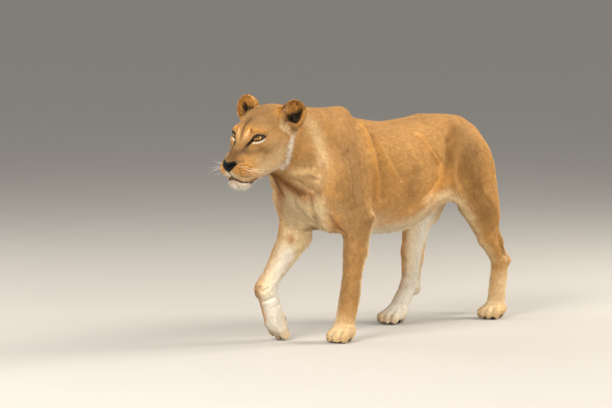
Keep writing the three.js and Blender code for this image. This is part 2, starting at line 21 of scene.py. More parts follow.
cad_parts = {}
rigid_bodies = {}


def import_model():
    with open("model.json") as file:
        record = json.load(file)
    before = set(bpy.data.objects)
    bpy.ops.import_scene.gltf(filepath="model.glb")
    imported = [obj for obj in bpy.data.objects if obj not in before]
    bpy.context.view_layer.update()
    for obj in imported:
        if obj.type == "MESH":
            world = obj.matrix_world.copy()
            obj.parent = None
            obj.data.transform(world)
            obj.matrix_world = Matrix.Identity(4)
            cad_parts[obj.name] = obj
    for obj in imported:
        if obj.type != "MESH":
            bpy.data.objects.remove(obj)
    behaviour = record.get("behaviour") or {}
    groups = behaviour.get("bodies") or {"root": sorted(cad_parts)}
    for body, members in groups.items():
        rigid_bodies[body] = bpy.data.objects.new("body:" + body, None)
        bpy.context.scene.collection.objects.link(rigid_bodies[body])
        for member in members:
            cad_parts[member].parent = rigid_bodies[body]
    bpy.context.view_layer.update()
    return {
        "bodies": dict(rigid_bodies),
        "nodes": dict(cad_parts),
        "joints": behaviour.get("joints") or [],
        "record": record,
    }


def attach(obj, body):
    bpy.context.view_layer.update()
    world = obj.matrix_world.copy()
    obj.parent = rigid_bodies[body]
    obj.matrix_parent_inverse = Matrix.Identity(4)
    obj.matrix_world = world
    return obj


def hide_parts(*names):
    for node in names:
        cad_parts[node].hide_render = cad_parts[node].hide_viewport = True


LOG = logging.getLogger("lioness")
MM = 0.001
SEED = 11
Point = tuple[float, float, float]
Rows = np.ndarray


# ---------------------------------------------------------------- frames, paths and small tools


class Space(Enum):
    """The frame that a path is written in."""

    BODY = "body"
    HEAD = "head"


@dataclass(frozen=True)
class Placement:
    """A turned frame on the body.

    Args:
        origin: its origin, in millimetres.
        yaw: turn about the upright, in degrees, towards her left.
        pitch: nose-down turn, in degrees.
        roll: lean to her left, in degrees.
    """

    origin: Point
    yaw: float
    pitch: float
    roll: float

    @property
    def axes(self) -> Rows:
        """The frame's side, back and up directions, as columns.

        Returns:
            A matrix whose columns are the frame's side, back and up directions.
        """
        z, x, y = (math.radians(v) for v in (self.yaw, self.pitch, self.roll))
        turn_z = np.array([[math.cos(z), -math.sin(z), 0], [math.sin(z), math.cos(z), 0], [0, 0, 1]])
        turn_x = np.array([[1, 0, 0], [0, math.cos(x), -math.sin(x)], [0, math.sin(x), math.cos(x)]])
        turn_y = np.array([[math.cos(y), 0, math.sin(y)], [0, 1, 0], [-math.sin(y), 0, math.cos(y)]])
        return turn_z @ turn_x @ turn_y

    def into(self, points: Rows) -> Rows:
        """Body places as places in this frame."""
        return (points - np.array(self.origin)) @ self.axes

    def out(self, points: Rows) -> Rows:
        """Places in this frame as body places."""
        return np.asarray(points, float) @ self.axes.T + np.array(self.origin)


HEAD = Placement(origin=(12.87, -707.3, 814.4), yaw=5.0, pitch=15.0, roll=4.0)
EYE_CENTRE: Point = (53.0, 4.0, 2.0)
EYE_RADIUS = 19.0


@dataclass
class Places:
    """Places on the body with their normals, in millimetres, in both frames."""

    body: Rows
    normal: Rows
    head: Rows = field(init=False)
    head_normal: Rows = field(init=False)

    def __post_init__(self) -> None:
        """Works out the same places in the head's frame."""
        self.head = HEAD.into(self.body)
        self.head_normal = self.normal @ HEAD.axes


SLACK = 12.0
SLACK_SHARE = 0.9


def smoothstep(low: float, high: float, value: Rows) -> Rows:
    """A soft step from 0 at low to 1 at high."""
    t = np.clip((value - low) / (high - low), 0.0, 1.0)
    return t * t * (3.0 - 2.0 * t)


def unit(rows: Rows) -> Rows:
    """The rows at length one."""
    return rows / np.maximum(np.linalg.norm(rows, axis=-1, keepdims=True), 1e-9)


def path_distance(points: Rows, normals: Rows, path: Rows) -> Rows:
    """How far each point is from a path, measured mostly along the surface.

    A path's corners may lie up to SLACK off the surface, and that part of the distance hardly counts.

    Args:
        points: the points.
        normals: the surface's normals there.
        path: the path's corners, one or more.

    Returns:
        One distance for each point.
    """
    best = np.full(len(points), 1e9)
    for a, b in zip(path[:-1], path[1:]) if len(path) > 1 else ((path[0], path[0]),):
        along = b - a
        t = np.clip((points - a) @ along / max(along @ along, 1e-9), 0.0, 1.0)
        off = points - a - t[:, None] * along
        deep = np.clip(np.abs((off * normals).sum(axis=1)), 0, SLACK)
        best = np.minimum(best, (off**2).sum(axis=1) - SLACK_SHARE * deep**2)
    return np.sqrt(np.maximum(best, 0))


def outline_depth(points: Rows, outline: Rows) -> Rows:
    """Measures how far inside a closed outline flat points are.

    Args:
        points: the points.
        outline: its corners in order.

    Returns:
        One depth for each point, negative outside the outline.
    """
    far = np.full(len(points), 1e9)
    inside = np.zeros(len(points), bool)
    for a, b in zip(outline, np.roll(outline, -1, axis=0)):
        along = b - a
        t = np.clip((points - a) @ along / max(along @ along, 1e-9), 0.0, 1.0)
        far = np.minimum(far, np.linalg.norm(points - a - t[:, None] * along, axis=1))
        crosses = (a[1] > points[:, 1]) != (b[1] > points[:, 1])
        rise = along[1] if abs(along[1]) > 1e-9 else 1e-9
        inside ^= crosses & (points[:, 0] < a[0] + along[0] * (points[:, 1] - a[1]) / rise)
    return np.where(inside, far, -far)


def waves(points: Rows, size: float, seed: int, count: int = 14) -> Rows:
    """Smooth noise from -1 to 1 made of crossing waves.

    Args:
        points: where it is read.
        size: the width of its patches, in the units of the points.
        seed: which pattern it is.
        count: how many waves cross.

    Returns:
        One value for each point.
    """
    rng = np.random.default_rng(seed)
    ways = unit(rng.normal(size=(count, 3))) * rng.uniform(0.6, 1.6, (count, 1)) * math.pi / size
    shift = rng.uniform(0, 2 * math.pi, count)
    return np.clip(np.sin(points @ ways.T + shift).sum(axis=1) / math.sqrt(count) / 1.4, -1, 1)


def on_left(rows: Rows, of: Rows) -> Rows:
    """Mirrors rows sideways wherever the places that they belong to are on her right."""
    side = np.where(of[:, :1] < 0, -1.0, 1.0)
    return np.column_stack([rows[:, :1] * side, rows[:, 1:]])


def on_side(place: Point, side: int) -> Rows:
    """A place or direction of her left side as it is, or with side at -1 its mirror image."""
    return np.array([place[0] * side, *place[1:]], float)


def bell(value: Rows, middle: float, half: float) -> Rows:
    """A soft bump: 1 at its middle, and about a third at half its width."""
    return np.exp(-(((value - middle) / half) ** 2))


SOFT_REACH = 2.6
FIRM_REACH = 1.8
REACH_MARGIN = 6.0


@dataclass(frozen=True)
class Stroke:
    """A soft brush stroke along a path.

    Args:
        path: the path's corners.
        radius: the distance at which it has faded to about a third.
        amount: how far it moves the skin, or how strongly it colours.
        space: the frame that the path is in.
        mirrored: whether it is repeated on the other side.
        hardness: 2 fades slowly, and more gives a firmer edge.
    """

    path: tuple[Point, ...]
    radius: float
    amount: float = 1.0
    space: Space = Space.HEAD
    mirrored: bool = True
    hardness: float = 2.0

    def weight(self, places: Places) -> Rows:
        """Works out how strongly the stroke acts.

        Args:
            places: places on her.

        Returns:
            One weight from 0 to 1 for each place.
        """
        on_head = self.space is Space.HEAD
        points = places.head if on_head else places.body
        normals = places.head_normal if on_head else places.normal
        if self.mirrored:
            points, normals = on_left(points, points), on_left(normals, points)
        path = np.array(self.path, float)
        reach = self.radius * (SOFT_REACH if self.hardness <= 2 else FIRM_REACH) + REACH_MARGIN
        near = np.all((points > path.min(0) - reach) & (points < path.max(0) + reach), axis=1)
        weights = np.zeros(len(points))
        if near.any():
            off = path_distance(points[near], normals[near], path) / self.radius
            weights[near] = np.exp(-(off**self.hardness))
        return weights


def deselect() -> None:
    """Leaves nothing selected."""
    bpy.ops.object.select_all(action="DESELECT")


def make_active(piece: bpy.types.Object) -> None:
    """Selects one piece alone and makes it the active one.

    Args:
        piece: the piece.
    """
    deselect()
    piece.select_set(True)
    bpy.context.view_layer.objects.active = piece


@contextmanager
def editing() -> Iterator[None]:
    """Edits the active piece, with all of it selected.

    Yields:
        Nothing, while the piece is in edit mode.
    """
    bpy.ops.object.mode_set(mode="EDIT")
    bpy.ops.mesh.select_all(action="SELECT")
    yield
    bpy.ops.object.mode_set(mode="OBJECT")


def plain_copy(piece: bpy.types.Object) -> bpy.types.Object:
    """Copies a piece and its mesh.

    Args:
        piece: the piece.

    Returns:
        The copy, without what the piece rides on, replaces or is.
    """
    copy = piece.copy()
    copy.data = piece.data.copy()
    copy.parent = None
    for key in [key for key in copy.keys() if key.startswith("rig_")]:
        del copy[key]
    bpy.context.scene.collection.objects.link(copy)
    return copy


def fetch(items: bpy.types.bpy_prop_collection, name: str, width: int, kind: type = np.float32) -> Rows:
    """Reads one property of a mesh.

    Args:
        items: its vertices, edges, triangles or map places.
        name: the property.
        width: how many numbers each item has.
        kind: the kind of number.

    Returns:
        One row for each item.
    """
    flat = np.empty(len(items) * width, kind)
    items.foreach_get(name, flat)
    return flat.reshape(-1, width)


def store(items: bpy.types.bpy_prop_collection, name: str, rows: Rows, kind: type = np.float32) -> None:
    """Writes one property of all the items of a mesh."""
    items.foreach_set(name, rows.astype(kind).ravel())


def corners_of(mesh: bpy.types.Mesh) -> Rows:
    """A mesh's vertices in millimetres."""
    return fetch(mesh.vertices, "co", 3).astype(float) / MM


def place_corners(mesh: bpy.types.Mesh, corners: Rows) -> None:
    """Puts a mesh's vertices at places in millimetres."""
    store(mesh.vertices, "co", corners * MM)
    mesh.update()


def normals_of(mesh: bpy.types.Mesh) -> Rows:
    """A mesh's vertex normals."""
    return fetch(mesh.vertex_normals, "vector", 3).astype(float)


def triangles_of(mesh: bpy.types.Mesh) -> Rows:
    """A mesh's triangles, as rows of three vertex numbers."""
    mesh.calc_loop_triangles()
    return fetch(mesh.loop_triangles, "vertices", 3, np.int32)


def mesh_piece(name: str, corners: Rows, triangles: Rows) -> bpy.types.Object:
    """Makes a piece from arrays.

    Args:
        name: the piece's name.
        corners: its vertices, in millimetres.
        triangles: rows of three vertex numbers.

    Returns:
        The new piece, at the origin.
    """
    mesh = bpy.data.meshes.new(name)
    mesh.vertices.add(len(corners))
    mesh.loops.add(len(triangles) * 3)
    mesh.polygons.add(len(triangles))
    store(mesh.vertices, "co", corners * MM)
    store(mesh.loops, "vertex_index", triangles, np.int32)
    store(mesh.polygons, "loop_start", np.arange(0, len(triangles) * 3, 3), np.int32)
    mesh.update(calc_edges=True)
    piece = bpy.data.objects.new(name, mesh)
    bpy.context.scene.collection.objects.link(piece)
    return piece


def paint(mesh: bpy.types.Mesh, name: str, colours: Rows) -> None:
    """Gives a mesh one colour for each vertex, as a named attribute."""
    layer = mesh.color_attributes.new(name=name, type="FLOAT_COLOR", domain="POINT")
    store(layer.data, "color", np.column_stack([colours, np.ones(len(colours))]))


def grade(mesh: bpy.types.Mesh, name: str, values: Rows) -> None:
    """Gives a mesh one number for each vertex, as a named attribute."""
    layer = mesh.attributes.new(name=name, type="FLOAT", domain="POINT")
    store(layer.data, "value", values)


def point(mesh: bpy.types.Mesh, name: str, vectors: Rows, domain: str) -> None:
    """Gives a mesh one vector for each vertex or face corner, as a named attribute."""
    layer = mesh.attributes.new(name=name, type="FLOAT_VECTOR", domain=domain)
    store(layer.data, "vector", vectors)


# ---------------------------------------------------------------- the lie of the coat


@dataclass(frozen=True)
class Lie:
    """How the coat lies round one place.

    Args:
        at: the place.
        way: the direction that the hairs point.
        length: the hairs' length.
        width: a tuft's width at its root.
        reach: how far the place is felt.
        space: the frame of at and way.
        mirrored: whether it also holds on the other side.
    """

    at: Point
    way: Point
    length: float
    width: float
    reach: float = 60.0
    space: Space = Space.BODY
    mirrored: bool = True


def on_head(at: Point, way: Point, length: float, width: float, reach: float = 26.0) -> Lie:
    """A lie of the coat on the head."""
    return Lie(at, way, length, width, reach, Space.HEAD)


def on_limb(at: Point, way: Point, length: float, width: float, reach: float = 45.0) -> Lie:
    """A lie of the coat on one limb alone."""
    return Lie(at, way, length, width, reach, Space.BODY, False)


LIES: tuple[Lie, ...] = (
    on_head((0, -138, -45), (0, 1, 0.5), 3.5, 0.9),
    on_head((12, -90, -20), (0.05, 1, 0.6), 5, 1.0),
    on_head((12, -35, 28), (0.1, 0.85, 0.6), 8, 1.2),
    on_head((20, 50, 70), (0.1, 1, 0.2), 11, 1.6, 34),
    on_head((30, 130, 80), (0.1, 1, -0.1), 13, 1.8, 34),
    on_head((34, -116, -84), (0.35, 0.85, -0.1), 4, 0.9, 20),
    on_head((26, -118, -112), (0.4, 0.7, -0.5), 4, 0.9, 20),
    on_head((0, -108, -165), (0, 0.45, -0.9), 15, 1.5, 22),
    on_head((44, -64, -172), (0.1, 0.9, -0.45), 12, 1.5),
    on_head((58, -50, -95), (0.3, 0.95, -0.15), 7, 1.1),
    on_head((62, -28, -38), (0.3, 0.95, -0.3), 6, 1.1, 22),
    on_head((58, -5, 26), (0.4, 0.6, 0.7), 5, 1.0, 16),
    on_head((30, -40, 2), (0.2, 0.95, 0.4), 5, 1.0, 18),
    on_head((98, 40, -40), (0.1, 1, -0.3), 12, 1.6),
    on_head((86, 80, -115), (0, 0.8, -0.6), 17, 1.9),
    on_head((50, 50, -160), (0, 1, -0.3), 17, 2.0, 34),
    on_head((106, 100, -20), (0.1, 0.9, -0.45), 15, 1.8),
    on_head((84, 50, 44), (0.35, 1, 0.2), 9, 1.4),
    on_head((110, 135, 60), (0.4, 0.15, 0.9), 6, 1.2, 34),
    Lie((0, -470, 915), (0, 1, -0.05), 14, 1.9),
    Lie((115, -450, 800), (0, 0.9, -0.5), 15, 2.0),
    Lie((85, -490, 650), (0, 0.65, -0.8), 16, 2.0),
    Lie((0, -430, 580), (0, 0.1, -1), 18, 2.1),
    Lie((0, -310, 440), (0, 0.8, -0.6), 18, 2.2),
    Lie((0, -260, 905), (0, 1, -0.1), 14, 2.0),
    Lie((150, -300, 730), (0, 0.35, -0.95), 13, 1.9),
    Lie((185, -260, 560), (0, 0.1, -1), 13, 1.9),
    Lie((0, 80, 845), (0, 1, 0), 14, 2.0, 80),
    Lie((170, 20, 700), (0, 0.95, -0.3), 14, 2.1, 80),
    Lie((150, -20, 520), (0, 0.9, -0.45), 15, 2.1, 70),
    Lie((0, 0, 395), (0, 1, -0.05), 20, 2.3, 70),
    Lie((60, 250, 480), (0, 0.9, -0.2), 21, 2.3),
    Lie((0, 400, 860), (0, 1, -0.1), 15, 2.2, 70),
    Lie((140, 430, 720), (0, 0.5, -0.87), 15, 2.2, 70),
    Lie((150, 490, 560), (0, 0.35, -0.94), 14, 2.1),
    Lie((60, 650, 700), (0, 0.3, -0.95), 16, 2.2),
    on_limb((150, -230, 400), (0, 0.1, -1), 12, 1.9),
    on_limb((115, -240, 250), (0, 0.05, -1), 10, 1.8),
    on_limb((110, -240, 110), (0, 0, -1), 8, 1.6),
    on_limb((106, -300, 35), (0, -0.85, -0.5), 5.5, 1.3, 32),
    on_limb((-140, -290, 410), (0, -0.5, -0.85), 12, 1.9),
    on_limb((-130, -390, 310), (0, -0.7, -0.7), 10, 1.8),
    on_limb((-118, -490, 205), (0, -0.3, -0.95), 8, 1.6, 32),
    on_limb((-110, -460, 130), (0, 0.2, -1), 7, 1.5, 32),
    on_limb((-105, -430, 55), (0, 0.15, -1), 5.5, 1.3, 32),
    on_limb((120, 480, 460), (0, 0.3, -0.95), 12, 1.9),
    on_limb((120, 610, 340), (0, 0.6, -0.8), 11, 1.8),
    on_limb((106, 720, 235), (0, 0.2, -1), 9, 1.7, 32),
    on_limb((103, 700, 130), (0, -0.1, -1), 8, 1.6),
    on_limb((98, 630, 35), (0, -0.85, -0.5), 5.5, 1.3, 32),
    on_limb((-120, 380, 450), (0, 0.2, -1), 12, 1.9),
    on_limb((-110, 370, 300), (0, 0.05, -1), 10, 1.8),
    on_limb((-102, 385, 140), (0, -0.4, -0.9), 8, 1.6, 32),
    on_limb((-100, 320, 80), (0, -0.8, -0.6), 7, 1.5, 32),
    on_limb((-98, 245, 35), (0, -0.9, -0.4), 5.5, 1.3, 32),
    on_limb((3, 700, 690), (0, 0.5, -0.85), 11, 1.8, 35),
    on_limb((3, 780, 460), (0, 0.15, -1), 10, 1.8, 35),
    on_limb((3, 810, 280), (0, 0.05, -1), 13, 1.9, 35),
    on_limb((3, 810, 170), (0, 0, -1), 20, 2.1, 35),
)


@dataclass
class CoatPlan:
    """The direction, length and width of the coat everywhere, from a table of lies.

    Args:
        lies: the table.
        softness: how far a place shares with its neighbours at its very middle.
    """

    lies: tuple[Lie, ...] = LIES
    softness: float = 0.08

    def rows(self) -> tuple[Rows, Rows, Rows, Rows, Rows]:
        """Reads the table.

        Returns:
            Arrays of its places, directions, lengths, widths and reaches.
        """
        rows = []
        for lie in self.lies:
            for side in (1, -1) if lie.mirrored and lie.at[0] else (1,):
                place, turn = on_side(lie.at, side), on_side(lie.way, side)
                if lie.space is Space.HEAD:
                    place, turn = HEAD.out(place), HEAD.axes @ turn
                rows.append((place, turn / np.linalg.norm(turn), lie.length, lie.width, lie.reach))
        return tuple(np.array(column) for column in zip(*rows))

    def read(self, places: Places) -> tuple[Rows, Rows, Rows]:
        """Reads the plan.

        Args:
            places: places on the skin.

        Returns:
            Each place's direction along the skin, length and width.
        """
        at, way, length, width, reach = self.rows()
        squared = ((places.body[:, None, :] - at[None]) ** 2).sum(axis=2) / reach**2
        pull = 1.0 / (squared + self.softness) ** 2
        pull /= pull.sum(axis=1, keepdims=True)
        turn = pull @ way
        turn -= (turn * places.normal).sum(axis=1, keepdims=True) * places.normal
        return unit(turn), pull @ length, pull @ width


# ---------------------------------------------------------------- markings


def linear(colour: tuple[float, float, float]) -> Rows:
    """A display colour as scene-linear values."""
    c = np.array(colour, float)
    return np.where(c <= 0.04045, c / 12.92, ((c + 0.055) / 1.055) ** 2.4)


class Tone(Enum):
    """The colours of her coat and bare skin, as they look in daylight."""

    TAWNY = (0.68, 0.50, 0.285)
    FLANK = (0.73, 0.54, 0.31)
    GREY_TAWNY = (0.60, 0.455, 0.285)
    DARK_TAWNY = (0.50, 0.36, 0.19)
    GOLD = (0.80, 0.56, 0.26)
    ORANGE = (0.68, 0.41, 0.14)
    # umber: painted shade in the folds, creases, armpits, groin and thighs, under the jaw and under the eyes;
    # it also darkens the top of the muzzle
    UMBER = (0.42, 0.25, 0.08)
    CREAM = (0.93, 0.82, 0.64)
    PALE = (0.84, 0.71, 0.52)
    WHITE = (0.93, 0.89, 0.82)
    BRIDGE = (0.38, 0.29, 0.19)
    BROWN = (0.32, 0.20, 0.12)
    RUST = (0.42, 0.18, 0.07)
    BLACK = (0.022, 0.018, 0.016)
    PAD = (0.12, 0.09, 0.08)

    @property
    def value(self) -> Rows:
        """The tone in scene-linear values."""
        return linear(self._value_)


@dataclass(frozen=True)
class Mark:
    """One marking: a stroke of one tone."""

    tone: Tone
    stroke: Stroke


def mark(
    tone: Tone, path: tuple[Point, ...], radius: float, amount: float = 1.0, hardness: float = 2.0
) -> Mark:
    """A marking on both sides of the head."""
    return Mark(tone, Stroke(path, radius, amount, Space.HEAD, True, hardness))


def patch(
    tone: Tone, path: tuple[Point, ...], radius: float, amount: float = 1.0, mirrored: bool = True
) -> Mark:
    """A marking on the body."""
    return Mark(tone, Stroke(path, radius, amount, Space.BODY, mirrored, 2.0))


# paths that are pressed into the skin and also painted: shade in the furrows, a highlight on the ridge
SHOULDER_FURROW: tuple[Point, ...] = (
    (100, -118, 820), (136, -112, 760), (160, -112, 690), (158, -88, 619), (146, -84, 550),
)
RIB_RIDGE: tuple[Point, ...] = ((119, 152, 780), (150, 189, 717), (152, 248, 658), (155, 233, 604))
CHEST_FURROW: tuple[Point, ...] = ((77, -443, 573), (61, -408, 509), (22, -326, 438))
MOUTH: tuple[Point, ...] = (
    (0, -121, -127), (14, -117, -136), (30, -104, -146), (44, -84, -153), (54, -60, -157), (60, -40, -150),
)
NOSE_OUTLINE: tuple[tuple[float, float], ...] = (
    (0, -60), (10, -57), (20, -56), (29, -59), (34, -65),
    (32, -73), (23, -83), (13, -91), (5, -98), (-5, -98),
)
NOSE_BACK = -92.0
SPOT_RADIUS = 3.08
WRIST_PAD = Stroke(((-70, -399, 92), (-80, -395, 84)), 11, 0.8, Space.BODY, False, 3)
BARE_LIPS = Stroke(MOUTH, 3.4, hardness=4)

# laid in this order: a later mark covers an earlier one
BODY_MARKS: tuple[Mark, ...] = (
    # painted shade: broad darker patches on the shoulder, the rump and the thigh; darker patches behind the
    # shoulder and on the ribs, and a darker line down the back
    patch(Tone.GREY_TAWNY, ((150, -290, 740), (180, -270, 600), (170, -250, 480)), 70, 0.75),
    patch(Tone.GREY_TAWNY, ((150, 440, 760), (140, 470, 700)), 60, 0.8),
    patch(Tone.DARK_TAWNY, ((150, 430, 640), (145, 480, 560), (130, 540, 460)), 58, 0.75),
    patch(Tone.DARK_TAWNY, ((140, -150, 560), (150, -130, 640)), 32, 0.5),
    patch(Tone.DARK_TAWNY, ((140, 70, 640), (150, 60, 560)), 46, 0.4),
    patch(Tone.GREY_TAWNY, ((0, -420, 905), (0, -100, 870), (0, 300, 850), (0, 480, 840)), 60, 0.45),
    patch(Tone.DARK_TAWNY, ((115, 370, 790), (133, 335, 710), (138, 330, 640)), 34, 0.55),
    patch(Tone.DARK_TAWNY, ((125, 500, 480), (122, 600, 370)), 34, 0.4),
    # furrows and ridges behind the shoulder and before the thigh: painted shade in the furrows, painted
    # highlights on the ridges behind the shoulder and on the ribs, and a golden line along the lower flank
    patch(Tone.UMBER, SHOULDER_FURROW, 12, 0.45),
    # painted highlights on the ridges behind the shoulder and on the ribs
    patch(Tone.GOLD, (
        (83, -152, 833), (123, -150, 773), (157, -160, 698), (156, -140, 619), (146, -127, 556),
    ), 11, 0.6),
    patch(Tone.GOLD, ((127, -108, 763), (151, -76, 685), (159, -31, 613)), 8, 0.45),
    patch(Tone.GOLD, RIB_RIDGE, 10, 0.45),
    # painted shade in the furrow before the thigh
    patch(Tone.UMBER, (
        (132, 335, 700), (146, 300, 640), (150, 262, 590), (150, 190, 536), (140, 90, 484),
    ), 13, 0.35),
    patch(Tone.GOLD, (
        (149, 271, 617), (154, 203, 550), (149, 83, 495), (120, -21, 445), (90, -70, 420),
    ), 26, 0.6),
    # belly
    patch(Tone.CREAM, ((149, 191, 522), (126, 330, 528), (121, 414, 488), (124, 465, 430)), 24, 0.75),
    patch(Tone.CREAM, ((69, -60, 410), (75, 79, 402), (118, 140, 452), (138, 201, 500)), 26, 0.85),
    patch(Tone.WHITE, ((0, -120, 395), (0, 80, 385), (0, 260, 450)), 90, 0.85),
    patch(Tone.ORANGE, ((148, 120, 478), (152, 220, 520)), 12, 0.45),
    # neck and chest, with painted shade in the crease down the middle of the chest and in both armpits
    patch(Tone.PALE, ((95, -439, 850), (112, -423, 787), (130, -420, 715)), 34, 0.8),
    patch(Tone.PALE, ((75, -519, 662), (112, -480, 665), (130, -445, 640)), 34, 0.55),
    patch(Tone.CREAM, ((0, -450, 560), (0, -400, 500), (0, -320, 440)), 95, 0.95),
    patch(Tone.CREAM, ((100, -400, 560), (92, -385, 500), (60, -380, 450)), 46, 0.85),
    patch(Tone.CREAM, ((-110, -420, 560), (-120, -390, 480)), 60, 0.8, False),
    patch(Tone.GOLD, ((136, -398, 600), (128, -360, 520), (126, -320, 440)), 26, 0.6, False),
    patch(Tone.GOLD, ((-140, -420, 600), (-150, -380, 500), (-160, -330, 420)), 26, 0.5, False),
    # painted shade in the crease of the left armpit
    patch(Tone.ORANGE, ((100, -372, 470), (112, -330, 430)), 16, 0.6, False),
    # painted shade in the crease down the middle of the chest
    patch(Tone.BROWN, ((6, -440, 560), (20, -400, 500), (22, -350, 450)), 7, 0.45, False),
    # painted shadow in the right armpit, between the leg and the chest
    patch(Tone.UMBER, ((-14, -319, 436), (-60, -305, 416)), 20, 0.75, False),
    patch(Tone.BROWN, ((-20, -300, 430), (-50, -280, 430)), 14, 0.5, False),
    # groin, flank and the top of the shoulder: painted shadow in the right groin, painted light on the flank,
    # painted shade on the front of the thighs, and a darker top of the shoulder
    patch(Tone.DARK_TAWNY, ((-69, 462, 440), (-72, 440, 470)), 26, 0.8, False),
    # painted light: the flank made brighter
    patch(Tone.GOLD, ((133, 325, 604), (149, 253, 574), (155, 184, 540)), 36, 0.5),
    # painted shade on the front of the thighs
    patch(Tone.UMBER, ((133, 440, 470), (148, 473, 530), (143, 515, 590)), 30, 0.3),
    patch(Tone.GREY_TAWNY, ((110, -250, 800), (130, -260, 700)), 40, 0.35),
    # throat and the folds of the chest: painted shadow under the jaw, and painted shade in the fold of the
    # chest and in the crease of the left armpit
    # painted shadow under the jaw
    patch(Tone.ORANGE, ((0, -545, 630), (24, -515, 606), (50, -470, 580), (80, -445, 572)), 30, 0.7),
    patch(Tone.UMBER, ((0, -562, 655), (20, -545, 645), (36, -505, 615), (54, -465, 588)), 21, 0.85),
    patch(Tone.GOLD, ((-60, -430, 470), (-90, -400, 440)), 18, 0.7, False),
    # painted shade in the fold of the chest
    patch(Tone.BROWN, CHEST_FURROW, 6, 0.5, False),
    patch(Tone.ORANGE, ((-94, -438, 600), (-92, -425, 545), (-120, -395, 500)), 26, 0.5, False),
    # painted shade in the crease of the left armpit
    patch(Tone.ORANGE, ((110, -356, 477), (112, -302, 427), (128, -284, 404)), 16, 0.7, False),
    # forelegs
    patch(Tone.CREAM, (
        (180, -190, 500), (178, -185, 450), (165, -200, 340), (146, -215, 222), (140, -225, 100),
    ), 13, 0.9, False),
    patch(Tone.GREY_TAWNY, ((130, -280, 440), (118, -270, 300), (112, -260, 180)), 60, 0.6, False),
    patch(Tone.CREAM, ((106, -310, 30), (112, -250, 50), (80, -270, 60)), 50, 0.75, False),
    patch(Tone.CREAM, ((-96, -290, 440), (-110, -370, 320), (-95, -460, 220)), 50, 0.8, False),
    patch(Tone.WHITE, (
        (-75, -380, 330), (-70, -440, 250), (-75, -455, 150), (-85, -440, 60),
    ), 44, 0.95, False),
    patch(Tone.WHITE, ((-95, -470, 190), (-95, -490, 130), (-100, -470, 60)), 26, 0.8, False),
    patch(Tone.ORANGE, ((-96, -350, 393),), 17, 0.85, False),
    patch(Tone.GOLD, (
        (-165, -360, 400), (-158, -490, 235), (-150, -500, 165), (-130, -480, 90),
    ), 17, 0.6, False),
    # hind legs, with painted shade in the hollow at the left hock
    patch(Tone.WHITE, (
        (-70, 450, 460), (-72, 400, 300), (-70, 390, 200), (-70, 330, 110), (-80, 250, 50),
    ), 50, 1.0, False),
    patch(Tone.GOLD, ((-112, 300, 420), (-128, 340, 300), (-128, 340, 200)), 16, 0.7, False),
    patch(Tone.GOLD, ((-84, 470, 355), (-84, 425, 250), (-80, 418, 170)), 9, 0.7, False),
    # painted shade in the hollow at the left hock
    patch(Tone.BROWN, ((128, 690, 290), (140, 700, 225)), 10, 0.6, False),
    patch(Tone.GOLD, (
        (100, 655, 650), (122, 660, 520), (115, 700, 360), (106, 735, 250), (104, 722, 120),
    ), 14, 0.75, False),
    patch(Tone.CREAM, ((118, 690, 150), (110, 670, 70), (100, 625, 40)), 46, 0.75, False),
    patch(Tone.PALE, ((126, 690, 260), (122, 700, 200)), 26, 0.5, False),
    # end of the tail
    patch(Tone.BROWN, ((3, 812, 240), (3, 812, 190)), 26, 0.5, False),
    patch(Tone.BLACK, ((3, 812, 175), (3, 815, 110)), 42, 0.93, False),
)

